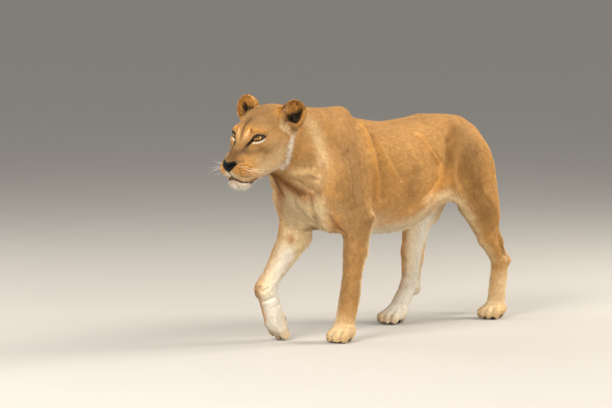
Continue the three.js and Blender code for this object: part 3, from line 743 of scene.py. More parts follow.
HEAD_MARKS: tuple[Mark, ...] = (
    # forehead, cheeks and the pale edge behind them
    mark(Tone.GREY_TAWNY, ((92, 20, -60), (100, 60, -30)), 46, 0.3),
    mark(Tone.GREY_TAWNY, ((0, 30, 62), (34, 30, 60), (62, 40, 50), (20, 100, 80)), 44, 0.9),
    mark(Tone.PALE, ((84, 20, -50), (96, 60, -60), (60, -50, -100)), 34, 0.4),
    mark(Tone.PALE, ((96, 60, -95), (80, 0, -110), (70, -30, -110)), 34, 0.75),
    mark(Tone.WHITE, (
        (118, 138, -24), (114, 108, -46), (110, 92, -82), (96, 92, -127), (74, 88, -153),
    ), 9, 0.95),
    mark(Tone.WHITE, ((80, 60, -150), (50, 10, -168), (40, -40, -178)), 30, 0.8),
    # chin and muzzle
    mark(Tone.WHITE, ((0, -108, -160), (28, -94, -166), (46, -62, -172)), 19, 0.97),
    mark(Tone.GOLD, ((46, -104, -88), (58, -72, -100)), 24, 0.75),
    mark(Tone.CREAM, ((12, -132, -108), (30, -116, -120), (48, -84, -136)), 12, 0.9),
    mark(Tone.WHITE, ((8, -132, -106), (10, -124, -120)), 8, 0.9),
    mark(Tone.ORANGE, ((40, -90, -142), (56, -58, -146)), 5, 0.7),
    # bridge of the nose and under the eyes, with painted shadow under the eyes
    mark(Tone.BRIDGE, ((0, -134, -46), (14, -118, -46), (10, -106, -36)), 24, 0.9),
    mark(Tone.BRIDGE, ((4, -100, -24), (5, -70, -10)), 20, 0.4),
    mark(Tone.BRIDGE, ((23, -85, -34), (32, -70, -34), (30, -50, -18)), 15, 0.85),
    mark(Tone.BRIDGE, ((39, -69, -37), (56, -43, -42), (72, -20, -40)), 13, 0.55),
    mark(Tone.BRIDGE, ((34, -122, -58), (44, -100, -64)), 9, 0.6),
    mark(Tone.UMBER, ((2, -107, -42), (6, -94, -34), (18, -122, -52)), 16, 0.35),
    # painted shadow under the eye
    mark(Tone.UMBER, ((66, -18, -34), (78, -10, -42), (88, -2, -50)), 14, 0.38),
    mark(Tone.DARK_TAWNY, ((46, 91, 69), (74, 85, 42)), 30, 0.35),
    # brows
    mark(Tone.PALE, ((14, -60, 8), (20, -40, 18)), 9, 0.5),
    mark(Tone.GOLD, ((20, -30, 20), (26, -16, 40)), 8, 0.85),
    mark(Tone.CREAM, ((22, -34, 18), (24, -24, 30)), 4, 0.6),
    mark(Tone.GOLD, ((40, -8, 29), (60, 2, 27), (76, 14, 20)), 7, 0.6),
    # foot of the ears
    mark(Tone.BLACK, ((99, 112, 20), (112, 124, 4), (119, 140, -8)), 9, 0.85),
    mark(Tone.BROWN, ((84, 123, 37), (92, 112, 26)), 8, 0.8),
    mark(Tone.CREAM, ((92, 88, 20), (99, 92, 4), (110, 112, -14)), 7, 0.8),
    # round the eyes, and the dark line up the forehead
    mark(Tone.WHITE, ((45, -30, -14), (56, -22, -15), (69, -9, -12), (76, 1, -7)), 2.3, 0.9, 3),
    mark(Tone.RUST, ((30, -16, 36), (35, -20, 24)), 3.4, 0.9, 3),
    mark(Tone.BROWN, ((0, -50, 6), (0, -30, 26), (0, -9, 44), (0, 30, 60)), 5.5, 0.72),
    mark(Tone.BROWN, ((6, 0, 47), (16, 26, 58)), 4, 0.35),
    mark(Tone.BLACK, ((43, -27, -4), (37, -36, -11), (33, -46, -17)), 5.4, 0.97, 4),
    mark(Tone.BLACK, ((33, -46, -17), (30, -55, -22)), 3.6, 0.8, 2),
    mark(Tone.BROWN, ((27, -62, -25), (26, -76, -34)), 4.5, 0.6),
    mark(Tone.BLACK, ((40, -27, -4), (46, -21, 8), (58, -14, 13), (71, -4, 9), (80, 6, 4)), 5.2, 0.97, 4),
    mark(Tone.BLACK, ((40, -27, -6), (52, -20, -9), (64, -14, -8), (74, -3, -4), (80, 6, 3)), 3.0, 0.97, 4),
    # lips
    mark(Tone.BLACK, ((0, -141, -92), (0, -130, -112), (0, -122, -126)), 2.4, 0.95, 4),
    mark(Tone.BLACK, MOUTH, 3.8, 0.97, 4),
    mark(Tone.BLACK, ((46, -68, -159), (58, -44, -152)), 6.0, 0.95, 4),
    mark(Tone.BLACK, ((0, -119, -133), (8, -117, -136)), 4.5, 0.85, 3),
)


@dataclass
class Markings:
    """The colour of her coat and bare skin at any place, with painted shade in folds, creases and hollows,
    and painted highlights on ridges, the flank and the ear rims.
    """

    body_marks: tuple[Mark, ...] = BODY_MARKS
    head_marks: tuple[Mark, ...] = HEAD_MARKS

    def ears(self, places: Places, colours: Rows) -> Rows:
        """Colours the ears: golden rims with a cream painted highlight along their upper edges, black painted
        shadow in the hollow low in the cup, and a dark band behind.

        Args:
            places: places on her.
            colours: their colours.

        Returns:
            The new colours.
        """
        ragged = 1 + 0.35 * waves(places.body, 7, 31)
        for side, ear in zip((1, -1), EARS):
            local = ear.place.into(places.body)
            x, y, z = local[:, 0] * side, local[:, 1], local[:, 2] - ear.middle
            on_ear = smoothstep(-54, -42, z) * smoothstep(72, 56, np.abs(x)) * smoothstep(62, 46, np.abs(y))
            radius = np.hypot(x, z)
            front = smoothstep(-0.15, 0.25, -(places.normal @ ear.place.axes)[:, 1])
            inside = front * smoothstep(ear.rim - 1, ear.rim - 9, radius)
            back = (1 - front) * smoothstep(ear.rim - 12, ear.rim - 26, radius)
            # the cream along the upper rims is a painted highlight of light from behind
            rim = front * smoothstep(ear.rim - 7, ear.rim, radius) * smoothstep(-10, 30, z + 0.6 * x)
            # the black in the deep hollow low in the cup is painted shadow
            hollow = bell(x, 6, 22) * bell(z, -26, 26)
            band = bell(x + 0.004 * z * z, 20, 10) * smoothstep(38, 14, z) * smoothstep(-50, -30, z)
            for tone, weight in (
                (Tone.GOLD, 0.4 + 0.5 * smoothstep(-44, -20, z)),
                (Tone.DARK_TAWNY, inside * smoothstep(20, 0, np.abs(x + 4)) * 0.35),
                (Tone.PALE, inside * smoothstep(-22, -36, x) * 0.5),
                (Tone.BLACK, np.clip(inside * (hollow * 1.9 + band) * ragged, 0, 0.97)),
                (Tone.CREAM, rim * 0.7),
                (Tone.BROWN, back * 0.55),
                (Tone.BLACK, back * bell(z, -6, 26) * 0.9),
            ):
                colours = colours + (tone.value - colours) * (on_ear * weight)[:, None]
        return colours

    def nose(self, places: Places) -> Rows:
        """Finds the bare pad of the nose.

        Args:
            places: places on her.

        Returns:
            One weight from 0 to 1 for each place.
        """
        outline = np.array(NOSE_OUTLINE, float)
        flat = np.column_stack([np.abs(places.head[:, 0]), places.head[:, 2]])
        near = (flat[:, 1] > outline[:, 1].min() - 1) & (flat[:, 1] < outline[:, 1].max() + 1)
        near &= places.head[:, 1] < NOSE_BACK
        weight = np.zeros(len(flat))
        weight[near] = smoothstep(-0.8, 0.8, outline_depth(flat[near], outline))
        return weight

    def spots(self, places: Places) -> Rows:
        """Finds the dark roots of the whisker rows.

        Args:
            places: places on her.

        Returns:
            One weight from 0 to 1 for each place.
        """
        points, normals = on_left(places.head, places.head), on_left(places.head_normal, places.head)
        near = (points[:, 1] < -70) & (points[:, 2] < -60) & (points[:, 2] > -130)
        weight = np.zeros(len(points))
        for root in whisker_roots():
            off = path_distance(points[near], normals[near], root[None]) / SPOT_RADIUS
            weight[near] = np.maximum(weight[near], np.exp(-(off**4)))
        return weight

    def pads(self, places: Places) -> Rows:
        """Finds the soles of the standing feet and of the lifted right forefoot.

        Args:
            places: places on her.

        Returns:
            One weight from 0 to 1 for each place.
        """
        p, n = places.body, places.normal
        sole = smoothstep(0.6, 0.85, -n[:, 2]) * smoothstep(26, 16, p[:, 2])
        lifted = smoothstep(0.45, 0.75, n[:, 1]) * smoothstep(88, 74, p[:, 2])
        lifted *= smoothstep(-380, -395, p[:, 1]) * (p[:, 0] < 0)
        return np.maximum(sole, lifted)

    def bare(self, places: Places) -> Rows:
        """Where there is no hair: nose, lips and the pads, from 0 to 1."""
        return np.max([self.nose(places), BARE_LIPS.weight(places), self.pads(places)], axis=0)

    def read(self, places: Places) -> Rows:
        """Reads the colours.

        Args:
            places: places on the skin.

        Returns:
            Scene-linear colours, one row for each place.
        """
        p, n = places.body, places.normal
        colours = np.tile(Tone.TAWNY.value, (len(p), 1))

        def lay(tone: Tone, weight: Rows) -> None:
            """Lays a tone over the colours."""
            nonlocal colours
            colours = colours + (tone.value - colours) * np.clip(weight, 0, 1)[:, None]

        lay(Tone.FLANK, smoothstep(60, 150, np.abs(p[:, 0])) * smoothstep(-500, -300, p[:, 1]))
        under = smoothstep(0.25, 0.9, -n[:, 2]) * smoothstep(620, 480, p[:, 2])
        lay(Tone.CREAM, under * 0.8)
        inward = -n[:, 0] * np.sign(p[:, 0])
        leg = smoothstep(520, 400, p[:, 2]) * smoothstep(20, 40, np.abs(p[:, 0]))
        leg *= 1 - (np.abs(p[:, 0]) < 40) * (p[:, 1] > 660)
        lay(Tone.CREAM, leg * smoothstep(0.0, 0.8, inward) * 0.85)
        lay(Tone.PALE, smoothstep(110, 30, p[:, 2]) * 0.6)
        for m in self.body_marks:
            lay(m.tone, m.stroke.weight(places) * m.stroke.amount)
        on_head = smoothstep(-40, 60, 150 - places.head[:, 1]) * (p[:, 2] > 560)
        for m in self.head_marks:
            lay(m.tone, m.stroke.weight(places) * m.stroke.amount * on_head)
        lay(Tone.BROWN, self.spots(places))
        lay(Tone.BLACK, self.nose(places))
        colours = self.ears(places, colours)
        lay(Tone.PAD, self.pads(places))
        lay(Tone.BROWN, WRIST_PAD.weight(places) * WRIST_PAD.amount)
        mottle = 1 + 0.055 * waves(p, 60, 3) + 0.045 * waves(p, 17, 4)
        return np.clip(colours * mottle[:, None], 0.001, 1.0)


# ---------------------------------------------------------------- ears and whiskers: where they are


@dataclass(frozen=True)
class Ear:
    """Where an ear stands.

    Args:
        place: its frame: across, backwards and up.
        middle: the height of the cup's middle.
        rim: the radius of its rim.
    """

    place: Placement
    middle: float = 62.0
    rim: float = 50.0


def ear_place(side: int, yaw: float, pitch: float, roll: float) -> Placement:
    """The frame of one ear, from its turn against the body."""
    x, y, z = HEAD.out(np.array([86.0 * side, 130.0, 4.0]))
    return Placement((x, y, z), yaw, pitch, roll)


EARS: tuple[Ear, Ear] = (Ear(ear_place(1, 36, -12, 24)), Ear(ear_place(-1, 6, -8, -26)))


def ear_distance(points: Rows, centre: Point) -> Rows:
    """How far each body place is from a point that is given in the frame of the nearer ear."""
    return np.min([np.linalg.norm(ear.place.into(points) - centre, axis=1) for ear in EARS], axis=0)


EAR_MIDDLE: Point = (0.0, 0.0, 60.0)
EAR_BACK: Point = (0.0, 15.0, 72.0)

# each row of whiskers: its height, where its first root is, and how many roots it has
WHISKER_ROWS: tuple[tuple[float, float, int], ...] = (
    (-76, -116, 4), (-84, -124, 6), (-93, -124, 6), (-102, -122, 5), (-111, -119, 4),
)
ROOT_GAP = 8.2
ROOT_DROP = 1.1


def whisker_roots() -> Rows:
    """Places the roots of the whiskers on her left, in rows.

    Returns:
        The roots in the head's frame.
    """
    rows = []
    for height, start, count in WHISKER_ROWS:
        for i in range(count):
            y = start + i * ROOT_GAP
            x = 47 + (y + 116) * 0.42 - abs(height + 92) * 0.18
            rows.append((x, y, height - i * ROOT_DROP))
    return np.array(rows)


# ---------------------------------------------------------------- materials


class Nodes:
    """A short way to write a node tree."""

    FACTOR, COLOUR_A, COLOUR_B, COLOUR_OUT = 0, 6, 7, 2

    def __init__(self, tree: bpy.types.NodeTree) -> None:
        """Starts on a tree."""
        self.tree = tree

    def feed(self, socket: bpy.types.NodeSocket, value: object) -> None:
        """Feeds a socket from another socket, or gives it a value.

        Args:
            socket: the socket.
            value: another socket, or the value.
        """
        if isinstance(value, bpy.types.NodeSocket):
            self.tree.links.new(value, socket)
        else:
            socket.default_value = value

    def add(self, kind: str, inputs: dict | None = None, **settings: object) -> bpy.types.Node:
        """Adds a node.

        Args:
            kind: the node's type, without "ShaderNode".
            inputs: socket name or number to a value or to the socket that feeds it.
            settings: the node's own settings.

        Returns:
            The node.
        """
        node = self.tree.nodes.new(kind if kind.startswith("Node") else f"ShaderNode{kind}")
        for name, value in settings.items():
            setattr(node, name, value)
        for key, value in (inputs or {}).items():
            self.feed(node.inputs[key], value)
        return node

    def mix(self, blend: str, factor: object, a: object, b: object) -> bpy.types.NodeSocket:
        """Mixes two colours, and returns the result's socket."""
        inputs = {self.FACTOR: factor, self.COLOUR_A: a, self.COLOUR_B: b}
        return self.add("Mix", inputs, data_type="RGBA", blend_type=blend).outputs[self.COLOUR_OUT]

    def math(self, operation: str, a: object, b: object = 0.0) -> bpy.types.NodeSocket:
        """Works out one sum, and returns its socket."""
        return self.add("Math", {0: a, 1: b}, operation=operation).outputs[0]


def blank_material(name: str) -> tuple[bpy.types.Material, Nodes]:
    """Makes a material with an empty node tree.

    Args:
        name: its name.

    Returns:
        The material, and a writer on its tree.
    """
    material = bpy.data.materials.new(name)
    material.use_nodes = True
    material.node_tree.nodes.clear()
    return material, Nodes(material.node_tree)


# noise cells in each metre: long along the body, or long downwards
STREAKS_ALONG = (420, 55, 420)
STREAKS_DOWN = (420, 420, 55)


def hair_grain() -> bpy.types.NodeTree:
    """The group that draws fine hairs: streaks along the body, and down the legs.

    Returns:
        A group with the inputs Size, Down and Strength, and the outputs Shade and Height.
    """
    group = bpy.data.node_groups.get("hair_grain")
    if group:
        return group
    group = bpy.data.node_groups.new("hair_grain", "ShaderNodeTree")
    for name, value in (("Size", 1.0), ("Down", 0.0), ("Strength", 1.0)):
        group.interface.new_socket(name, in_out="INPUT", socket_type="NodeSocketFloat").default_value = value
    for name in ("Shade", "Height"):
        group.interface.new_socket(name, in_out="OUTPUT", socket_type="NodeSocketFloat")
    n = Nodes(group)
    given = n.add("NodeGroupInput").outputs
    where = n.add("TexCoord").outputs["Object"]
    streaks = []
    for scale in (STREAKS_ALONG, STREAKS_DOWN):
        turned = n.add("Mapping", {"Vector": where, "Scale": scale})
        sized = n.add("VectorMath", {0: turned.outputs[0], 3: given["Size"]}, operation="SCALE")
        noise = n.add("TexNoise", {"Vector": sized.outputs[0], "Scale": 1.0, "Detail": 3.0, "Roughness": 0.6})
        streaks.append(noise.outputs[0])
    both = n.add("Mix", {0: given["Down"], 2: streaks[0], 3: streaks[1]}, data_type="FLOAT")
    centred = n.math("SUBTRACT", both.outputs[0], 0.5)
    shade = n.math("MULTIPLY", centred, given["Strength"])
    n.add("NodeGroupOutput", {"Shade": n.math("ADD", shade, 1.0), "Height": both.outputs[0]})
    return group


@dataclass(frozen=True)
class CoatFinish:
    """The finish of skin and tufts: her markings, with fine hairs drawn in them.

    Args:
        name: the material's name.
        grain: how strongly single hairs change the colour.
        bump: how deep the hairs are cut, in metres.
        roughness: how matt the coat is.
        sheen: the soft light that the hairs catch.
        shine: how much light the coat mirrors.
        bare_roughness: how matt the bare skin is.
        pebbles: how many pebbles of bare skin there are in a metre.
    """

    name: str = "coat"
    grain: float = 0.9
    bump: float = 0.0012
    roughness: float = 0.74
    sheen: float = 0.02
    shine: float = 0.14
    bare_roughness: float = 0.42
    pebbles: float = 700.0

    def material(self) -> bpy.types.Material:
        """Builds the material.

        Returns:
            The material.
        """
        material, n = blank_material(self.name)
        colour = n.add("Attribute", attribute_name="coat_colour", attribute_type="GEOMETRY").outputs["Color"]
        down = n.add("Attribute", attribute_name="down", attribute_type="GEOMETRY").outputs["Fac"]
        bare = n.add("Attribute", attribute_name="bare", attribute_type="GEOMETRY").outputs["Fac"]
        grain = n.add("Group", {"Size": 1.0, "Strength": self.grain, "Down": down}, node_tree=hair_grain())
        haired = n.mix("MULTIPLY", 1.0, colour, grain.outputs["Shade"])
        base = n.mix("MIX", bare, haired, colour)
        smoother = n.math("MULTIPLY", bare, self.roughness - self.bare_roughness)
        rough = n.math("SUBTRACT", self.roughness, smoother)
        where = n.add("TexCoord").outputs["Object"]
        pebble = n.add("TexVoronoi", {"Vector": where, "Scale": self.pebbles}).outputs[0]
        heights = {0: bare, 2: grain.outputs["Height"], 3: n.math("MULTIPLY", pebble, 0.5)}
        height = n.add("Mix", heights, data_type="FLOAT")
        bump = n.add("Bump", {"Height": height.outputs[0], "Distance": self.bump, "Strength": 0.7})
        shader = n.add("BsdfPrincipled", {
            "Base Color": base, "Roughness": rough, "Normal": bump.outputs[0],
            "Sheen Weight": self.sheen, "Sheen Roughness": 0.5, "Specular IOR Level": self.shine,
        })
        n.add("OutputMaterial", {"Surface": shader.outputs[0]})
        return material


@dataclass(frozen=True)
class PlainFinish:
    """A finish of one colour that a fine mottle breaks up.

    Args:
        name: the material's name.
        colour: its display colour.
        roughness: how matt it is.
        coat: how wet it looks.
        mottle: how far the mottle moves the colour, as a share of it.
        scale: how many patches of mottle there are in a metre.
        relief: how deep the mottle is cut, in metres.
    """

    name: str
    colour: tuple[float, float, float]
    roughness: float
    coat: float = 0.0
    mottle: float = 0.15
    scale: float = 300.0
    relief: float = 0.0003

    def material(self) -> bpy.types.Material:
        """Builds the material.

        Returns:
            The material.
        """
        material, n = blank_material(self.name)
        where = n.add("TexCoord").outputs["Object"]
        noise = n.add("TexNoise", {"Vector": where, "Scale": self.scale, "Detail": 3.0})
        low, high = (
            (*np.clip(linear(self.colour) * share, 0, 1), 1.0) for share in (1 - self.mottle, 1 + self.mottle)
        )
        base = n.mix("MIX", noise.outputs[0], low, high)
        bump = n.add("Bump", {"Height": noise.outputs[0], "Distance": self.relief, "Strength": 0.4})
        shader = n.add("BsdfPrincipled", {
            "Base Color": base, "Normal": bump.outputs[0],
            "Roughness": self.roughness, "Coat Weight": self.coat,
        })
        n.add("OutputMaterial", {"Surface": shader.outputs[0]})
        return material


# the ball's colours from the middle of the pupil outwards
IRIS_STOPS: tuple[tuple[float, tuple[float, float, float]], ...] = (
    (0.0, (0.005, 0.004, 0.003)), (0.135, (0.005, 0.004, 0.003)), (0.155, (0.26, 0.12, 0.02)),
    (0.28, (0.62, 0.35, 0.05)), (0.44, (0.48, 0.25, 0.035)), (0.51, (0.12, 0.055, 0.012)),
    (0.545, (0.006, 0.004, 0.003)), (0.75, (0.008, 0.006, 0.005)), (0.95, (0.03, 0.02, 0.015)),
)


@dataclass(frozen=True)
class IrisFinish:
    """An amber iris with a round pupil, painted on the ball, under a wet front."""

    name: str = "eye"
    roughness: float = 0.35
    wetness: float = 0.6

    def material(self) -> bpy.types.Material:
        """Builds the material, which reads the ball's own attributes.

        Returns:
            The material.
        """
        material, n = blank_material(self.name)
        off = n.add("Attribute", attribute_name="from_pupil", attribute_type="GEOMETRY").outputs["Fac"]
        around = n.add("Attribute", attribute_name="spokes", attribute_type="GEOMETRY").outputs["Vector"]
        fibres = n.add("TexNoise", {"Vector": around, "Scale": 7.0, "Detail": 4.0, "Roughness": 0.7})
        ramp = n.add("ValToRGB", {"Fac": off})
        elements = ramp.color_ramp.elements
        for element, (position, colour) in zip(elements, (IRIS_STOPS[0], IRIS_STOPS[-1])):
            element.position, element.color = position, (*colour, 1)
        for position, colour in IRIS_STOPS[1:-1]:
            elements.new(position).color = (*colour, 1)
        shade = n.math("ADD", n.math("MULTIPLY", fibres.outputs[0], 1.1), 0.45)
        base = n.mix("MULTIPLY", 1.0, ramp.outputs[0], shade)
        shader = n.add("BsdfPrincipled", {
            "Base Color": base, "Roughness": self.roughness, "Specular IOR Level": 0.2,
            "Coat Weight": self.wetness, "Coat Roughness": 0.03,
        })
        n.add("OutputMaterial", {"Surface": shader.outputs[0]})
        return material


# ---------------------------------------------------------------- the skin


def fold(path: tuple[Point, ...], radius: float, depth: float, mirrored: bool = True) -> Stroke:
    """A ridge or a furrow on the body: depth is in millimetres, outwards."""
    return Stroke(path, radius, depth, Space.BODY, mirrored)


def crease(path: tuple[Point, ...], radius: float, depth: float, hardness: float = 2.0) -> Stroke:
    """A ridge or a furrow on both sides of the head."""
    return Stroke(path, radius, depth, Space.HEAD, True, hardness)


BODY_FOLDS: tuple[Stroke, ...] = (
    # behind the shoulder
    fold(((83, -152, 833), (123, -150, 773), (157, -160, 698), (154, -134, 619), (146, -127, 556)), 15, 6),
    fold(SHOULDER_FURROW, 15, -6),
    fold(((127, -92, 763), (151, -60, 685), (159, -15, 613)), 7, 3),
    fold(((127, -76, 763), (151, -42, 685), (159, 2, 613)), 7, -2.5),
    # ribs
    fold(RIB_RIDGE, 9, 4),
    fold(((119, 176, 780), (150, 214, 717), (152, 272, 655)), 9, -3),
    fold(((140, 60, 740), (160, 100, 660), (150, 140, 580)), 8, 1.8),
    fold(((140, 10, 740), (162, 40, 650), (152, 70, 560)), 8, 1.8),
    fold(((150, -30, 560), (140, 40, 500), (120, 130, 470)), 9, 1.6),
    # before the thigh
    fold(((130, 330, 740), (144, 300, 660), (152, 262, 600), (152, 200, 545), (140, 90, 490)), 17, -6),
    fold(((118, 378, 800), (136, 362, 700), (140, 352, 620), (134, 380, 545)), 24, 5),
    # the shoulder blade
    fold(((60, -330, 890), (110, -330, 790), (150, -350, 680)), 22, 4),
    fold(((150, -284, 740), (176, -290, 650), (182, -300, 560)), 7, -3),
    fold(((140, -240, 760), (172, -236, 660), (182, -240, 560)), 7, -2.5),
    # neck, chest and elbow
    fold(((75, -519, 662), (110, -482, 669), (134, -442, 645), (120, -425, 606)), 14, 6),
    fold(((40, -540, 640), (70, -505, 622), (100, -460, 592)), 11, -6),
    fold(((92, -470, 800), (116, -440, 740), (124, -425, 690)), 12, 3),
    fold(((80, -500, 790), (104, -476, 730), (112, -460, 690)), 9, -3),
    fold(CHEST_FURROW, 8, -7, False),
    fold(((104, -368, 487), (108, -330, 450), (112, -302, 420)), 12, -6, False),
    fold(((188, -206, 486),), 17, 5, False),
    # legs
    fold(((150, 560, 520), (128, 640, 400), (118, 690, 320)), 18, 3, False),
    fold(((124, 650, 330), (132, 690, 262)), 11, -7, False),
    fold(((84, 650, 330), (80, 690, 262)), 11, -5, False),
    fold(((-124, 420, 300), (-128, 412, 200)), 10, -4, False),
    fold(((-82, 430, 300), (-78, 412, 190)), 10, -4, False),
    fold(((-82, -497, 212), (-100, -508, 200)), 6, -2.5, False),
    fold(((-72, -470, 176), (-80, -485, 168), (-110, -492, 160)), 5, -2.5, False),
    fold(((-72, -448, 146), (-90, -470, 132)), 5, -2, False),
    # hips
    fold(((60, 300, 862), (72, 360, 852)), 30, 4),
    fold(((70, 560, 790), (66, 610, 760)), 26, 3),
)

FACE_FOLDS: tuple[Stroke, ...] = (
    # brows and round the eyes
    crease(((30, -16, 32), (54, -4, 33), (76, 14, 24)), 9, 3.0),
    crease(((37, -27, 14), (50, -14, 23), (66, -4, 22), (78, 8, 12)), 3.2, -2.0),
    crease(((41, -31, -6), (35, -42, -14), (30, -55, -20)), 4.2, -3.2),
    crease(((40, -36, -20), (56, -24, -22), (72, -6, -17)), 5, 1.8),
    crease(((44, -38, -30), (60, -26, -32), (76, -6, -27)), 3.5, -1.3),
    crease(((74, -10, -34), (96, 26, -24), (106, 60, -18)), 16, 2.5),
    # bridge and forehead
    crease(((24, -58, -10), (27, -84, -28), (30, -102, -40)), 9, -2.5),
    crease(((0, -30, 30), (0, 0, 46), (0, 40, 62)), 5, -3.0),
    crease(((14, -10, 44), (22, 30, 60)), 11, 1.5),
    # muzzle, chin and lips
    crease(((26, -124, -96), (38, -108, -104), (48, -84, -118)), 17, 4.0),
    crease(((37, -104, -60), (50, -78, -76), (60, -52, -104)), 6, -2.2),
    crease(((0, -141, -96), (0, -131, -112), (0, -122, -126)), 2.6, -3.4),
    crease(((0, -112, -158), (16, -104, -162)), 15, 3.0),
    crease(((8, -118, -142), (26, -106, -153), (42, -84, -161), (52, -60, -164)), 5, 2.0),
    crease(((60, -36, -148),), 6, -3.0),
    crease(((64, -60, -110), (72, -36, -124)), 9, -1.5),
    # nose
    crease(((0, -141, -78), (0, -139, -66)), 4, -1.4),
    crease(((10, -140, -66), (22, -134, -60)), 9, 2.2),
    crease(((9, -139, -78), (15, -138, -70), (24, -133, -67)), 3.6, -7.5, 3),
    crease(((24, -133, -68), (35, -123, -68)), 2.6, -4.0, 3),
    crease(((7, -137, -54), (22, -130, -51), (33, -120, -54)), 3.5, -1.4),
    # the line of the mouth
    crease(MOUTH, 2.6, -4.6, 3),
)


@dataclass(frozen=True)
class Lids:
    """The opening between the lids, in degrees seen from the middle of the ball.

    Args:
        centre: how far outwards the middle of the opening faces.
        half_width: from its middle to a corner.
        upper: how high the upper lid arches over the line of the corners.
        lower: how deep the lower lid hangs under it.
        thickness: the lids' thickness over the ball, in millimetres.
        fullness: how much thicker they are away from their edges.
        softness: over what height the lids run into the face.
        socket: how far the skin lies behind the ball's front in the opening.
    """

    centre: float = 30.0
    half_width: float = 49.0
    upper: float = 24.0
    lower: float = 18.0
    thickness: float = 1.7
    fullness: float = 1.6
    softness: float = 3.0
    socket: float = 3.5

    def seen(self, off: Rows, side: int) -> tuple[Rows, Rows, Rows]:
        """Places round an eye as the ball's middle sees them.

        Args:
            off: places against the middle of the ball, in the head's frame.
            side: 1 for her left eye, -1 for her right.

        Returns:
            Their distance, their angle outwards from the middle of the opening and their angle upwards.
        """
        far = np.linalg.norm(off, axis=1)
        across = np.degrees(np.arctan2(off[:, 0] * side, -off[:, 1])) - self.centre
        height = np.degrees(np.arcsin(np.clip(off[:, 2] / np.maximum(far, 1e-6), -1, 1)))
        return far, across, height

    def edge(self, t: Rows, upper: bool) -> Rows:
        """The height of a lid's edge, in degrees, at t from -1 (inner corner) to 1 (outer)."""
        arch = np.clip(1 - t * t, 0, 1) ** 0.7
        return -3 + 6 * t + arch * (self.upper * (1 + 0.12 * t) if upper else -self.lower)

    def shaped(self, head: Rows, side: int) -> Rows:
        """Moves the skin round one eye.

        Args:
            head: places in the head's frame.
            side: 1 for her left eye, -1 for her right.

        Returns:
            The places, with lids over the ball and none in the opening.
        """
        off = head - on_side(EYE_CENTRE, side)
        far, across, height = self.seen(off, side)
        near = (far < 40) & (np.abs(across) < 85) & (np.abs(height) < 70)
        t = across / self.half_width
        inside = np.minimum(self.edge(t, True) - height, height - self.edge(t, False))
        inside = np.minimum(inside, (1 - np.abs(t)) * self.half_width) * EYE_RADIUS * math.pi / 180
        opened = smoothstep(-0.35, 0.35, inside)
        lid = EYE_RADIUS + self.thickness + self.fullness * smoothstep(0, 9, -inside)
        # the lid's own height and the skin's meet in a soft maximum
        over = np.clip(0.5 + 0.5 * (far - lid) / self.softness, 0, 1)
        covered = far * over + lid * (1 - over) + self.softness * over * (1 - over)
        wanted = covered * (1 - opened) + (EYE_RADIUS - self.socket) * opened
        fade = smoothstep(85, 66, np.abs(across)) * smoothstep(70, 54, np.abs(height))
        moved = far + (wanted - far) * fade * near
        return head + off * ((moved / np.maximum(far, 1e-6)) - 1)[:, None]


READ_AT_ONCE = 50000
# the skin is a little darker than the tufts over it
UNDER_COAT = 0.94
# solids' corners closer than this are one, in metres
WELD = 0.00002
# each round of smoothing pulls the corners in, and then pushes them out a little further
SMOOTHING_STEPS = (0.52, -0.535)
# where on the head the mesh is made finer: the place, how far round it, and its longest edge
FINER: tuple[tuple[Point, float, float], ...] = (
    ((0, -112, -100), 75, 3.4), ((0, -132, -76), 40, 1.9), ((56, -12, 0), 44, 1.5),
)


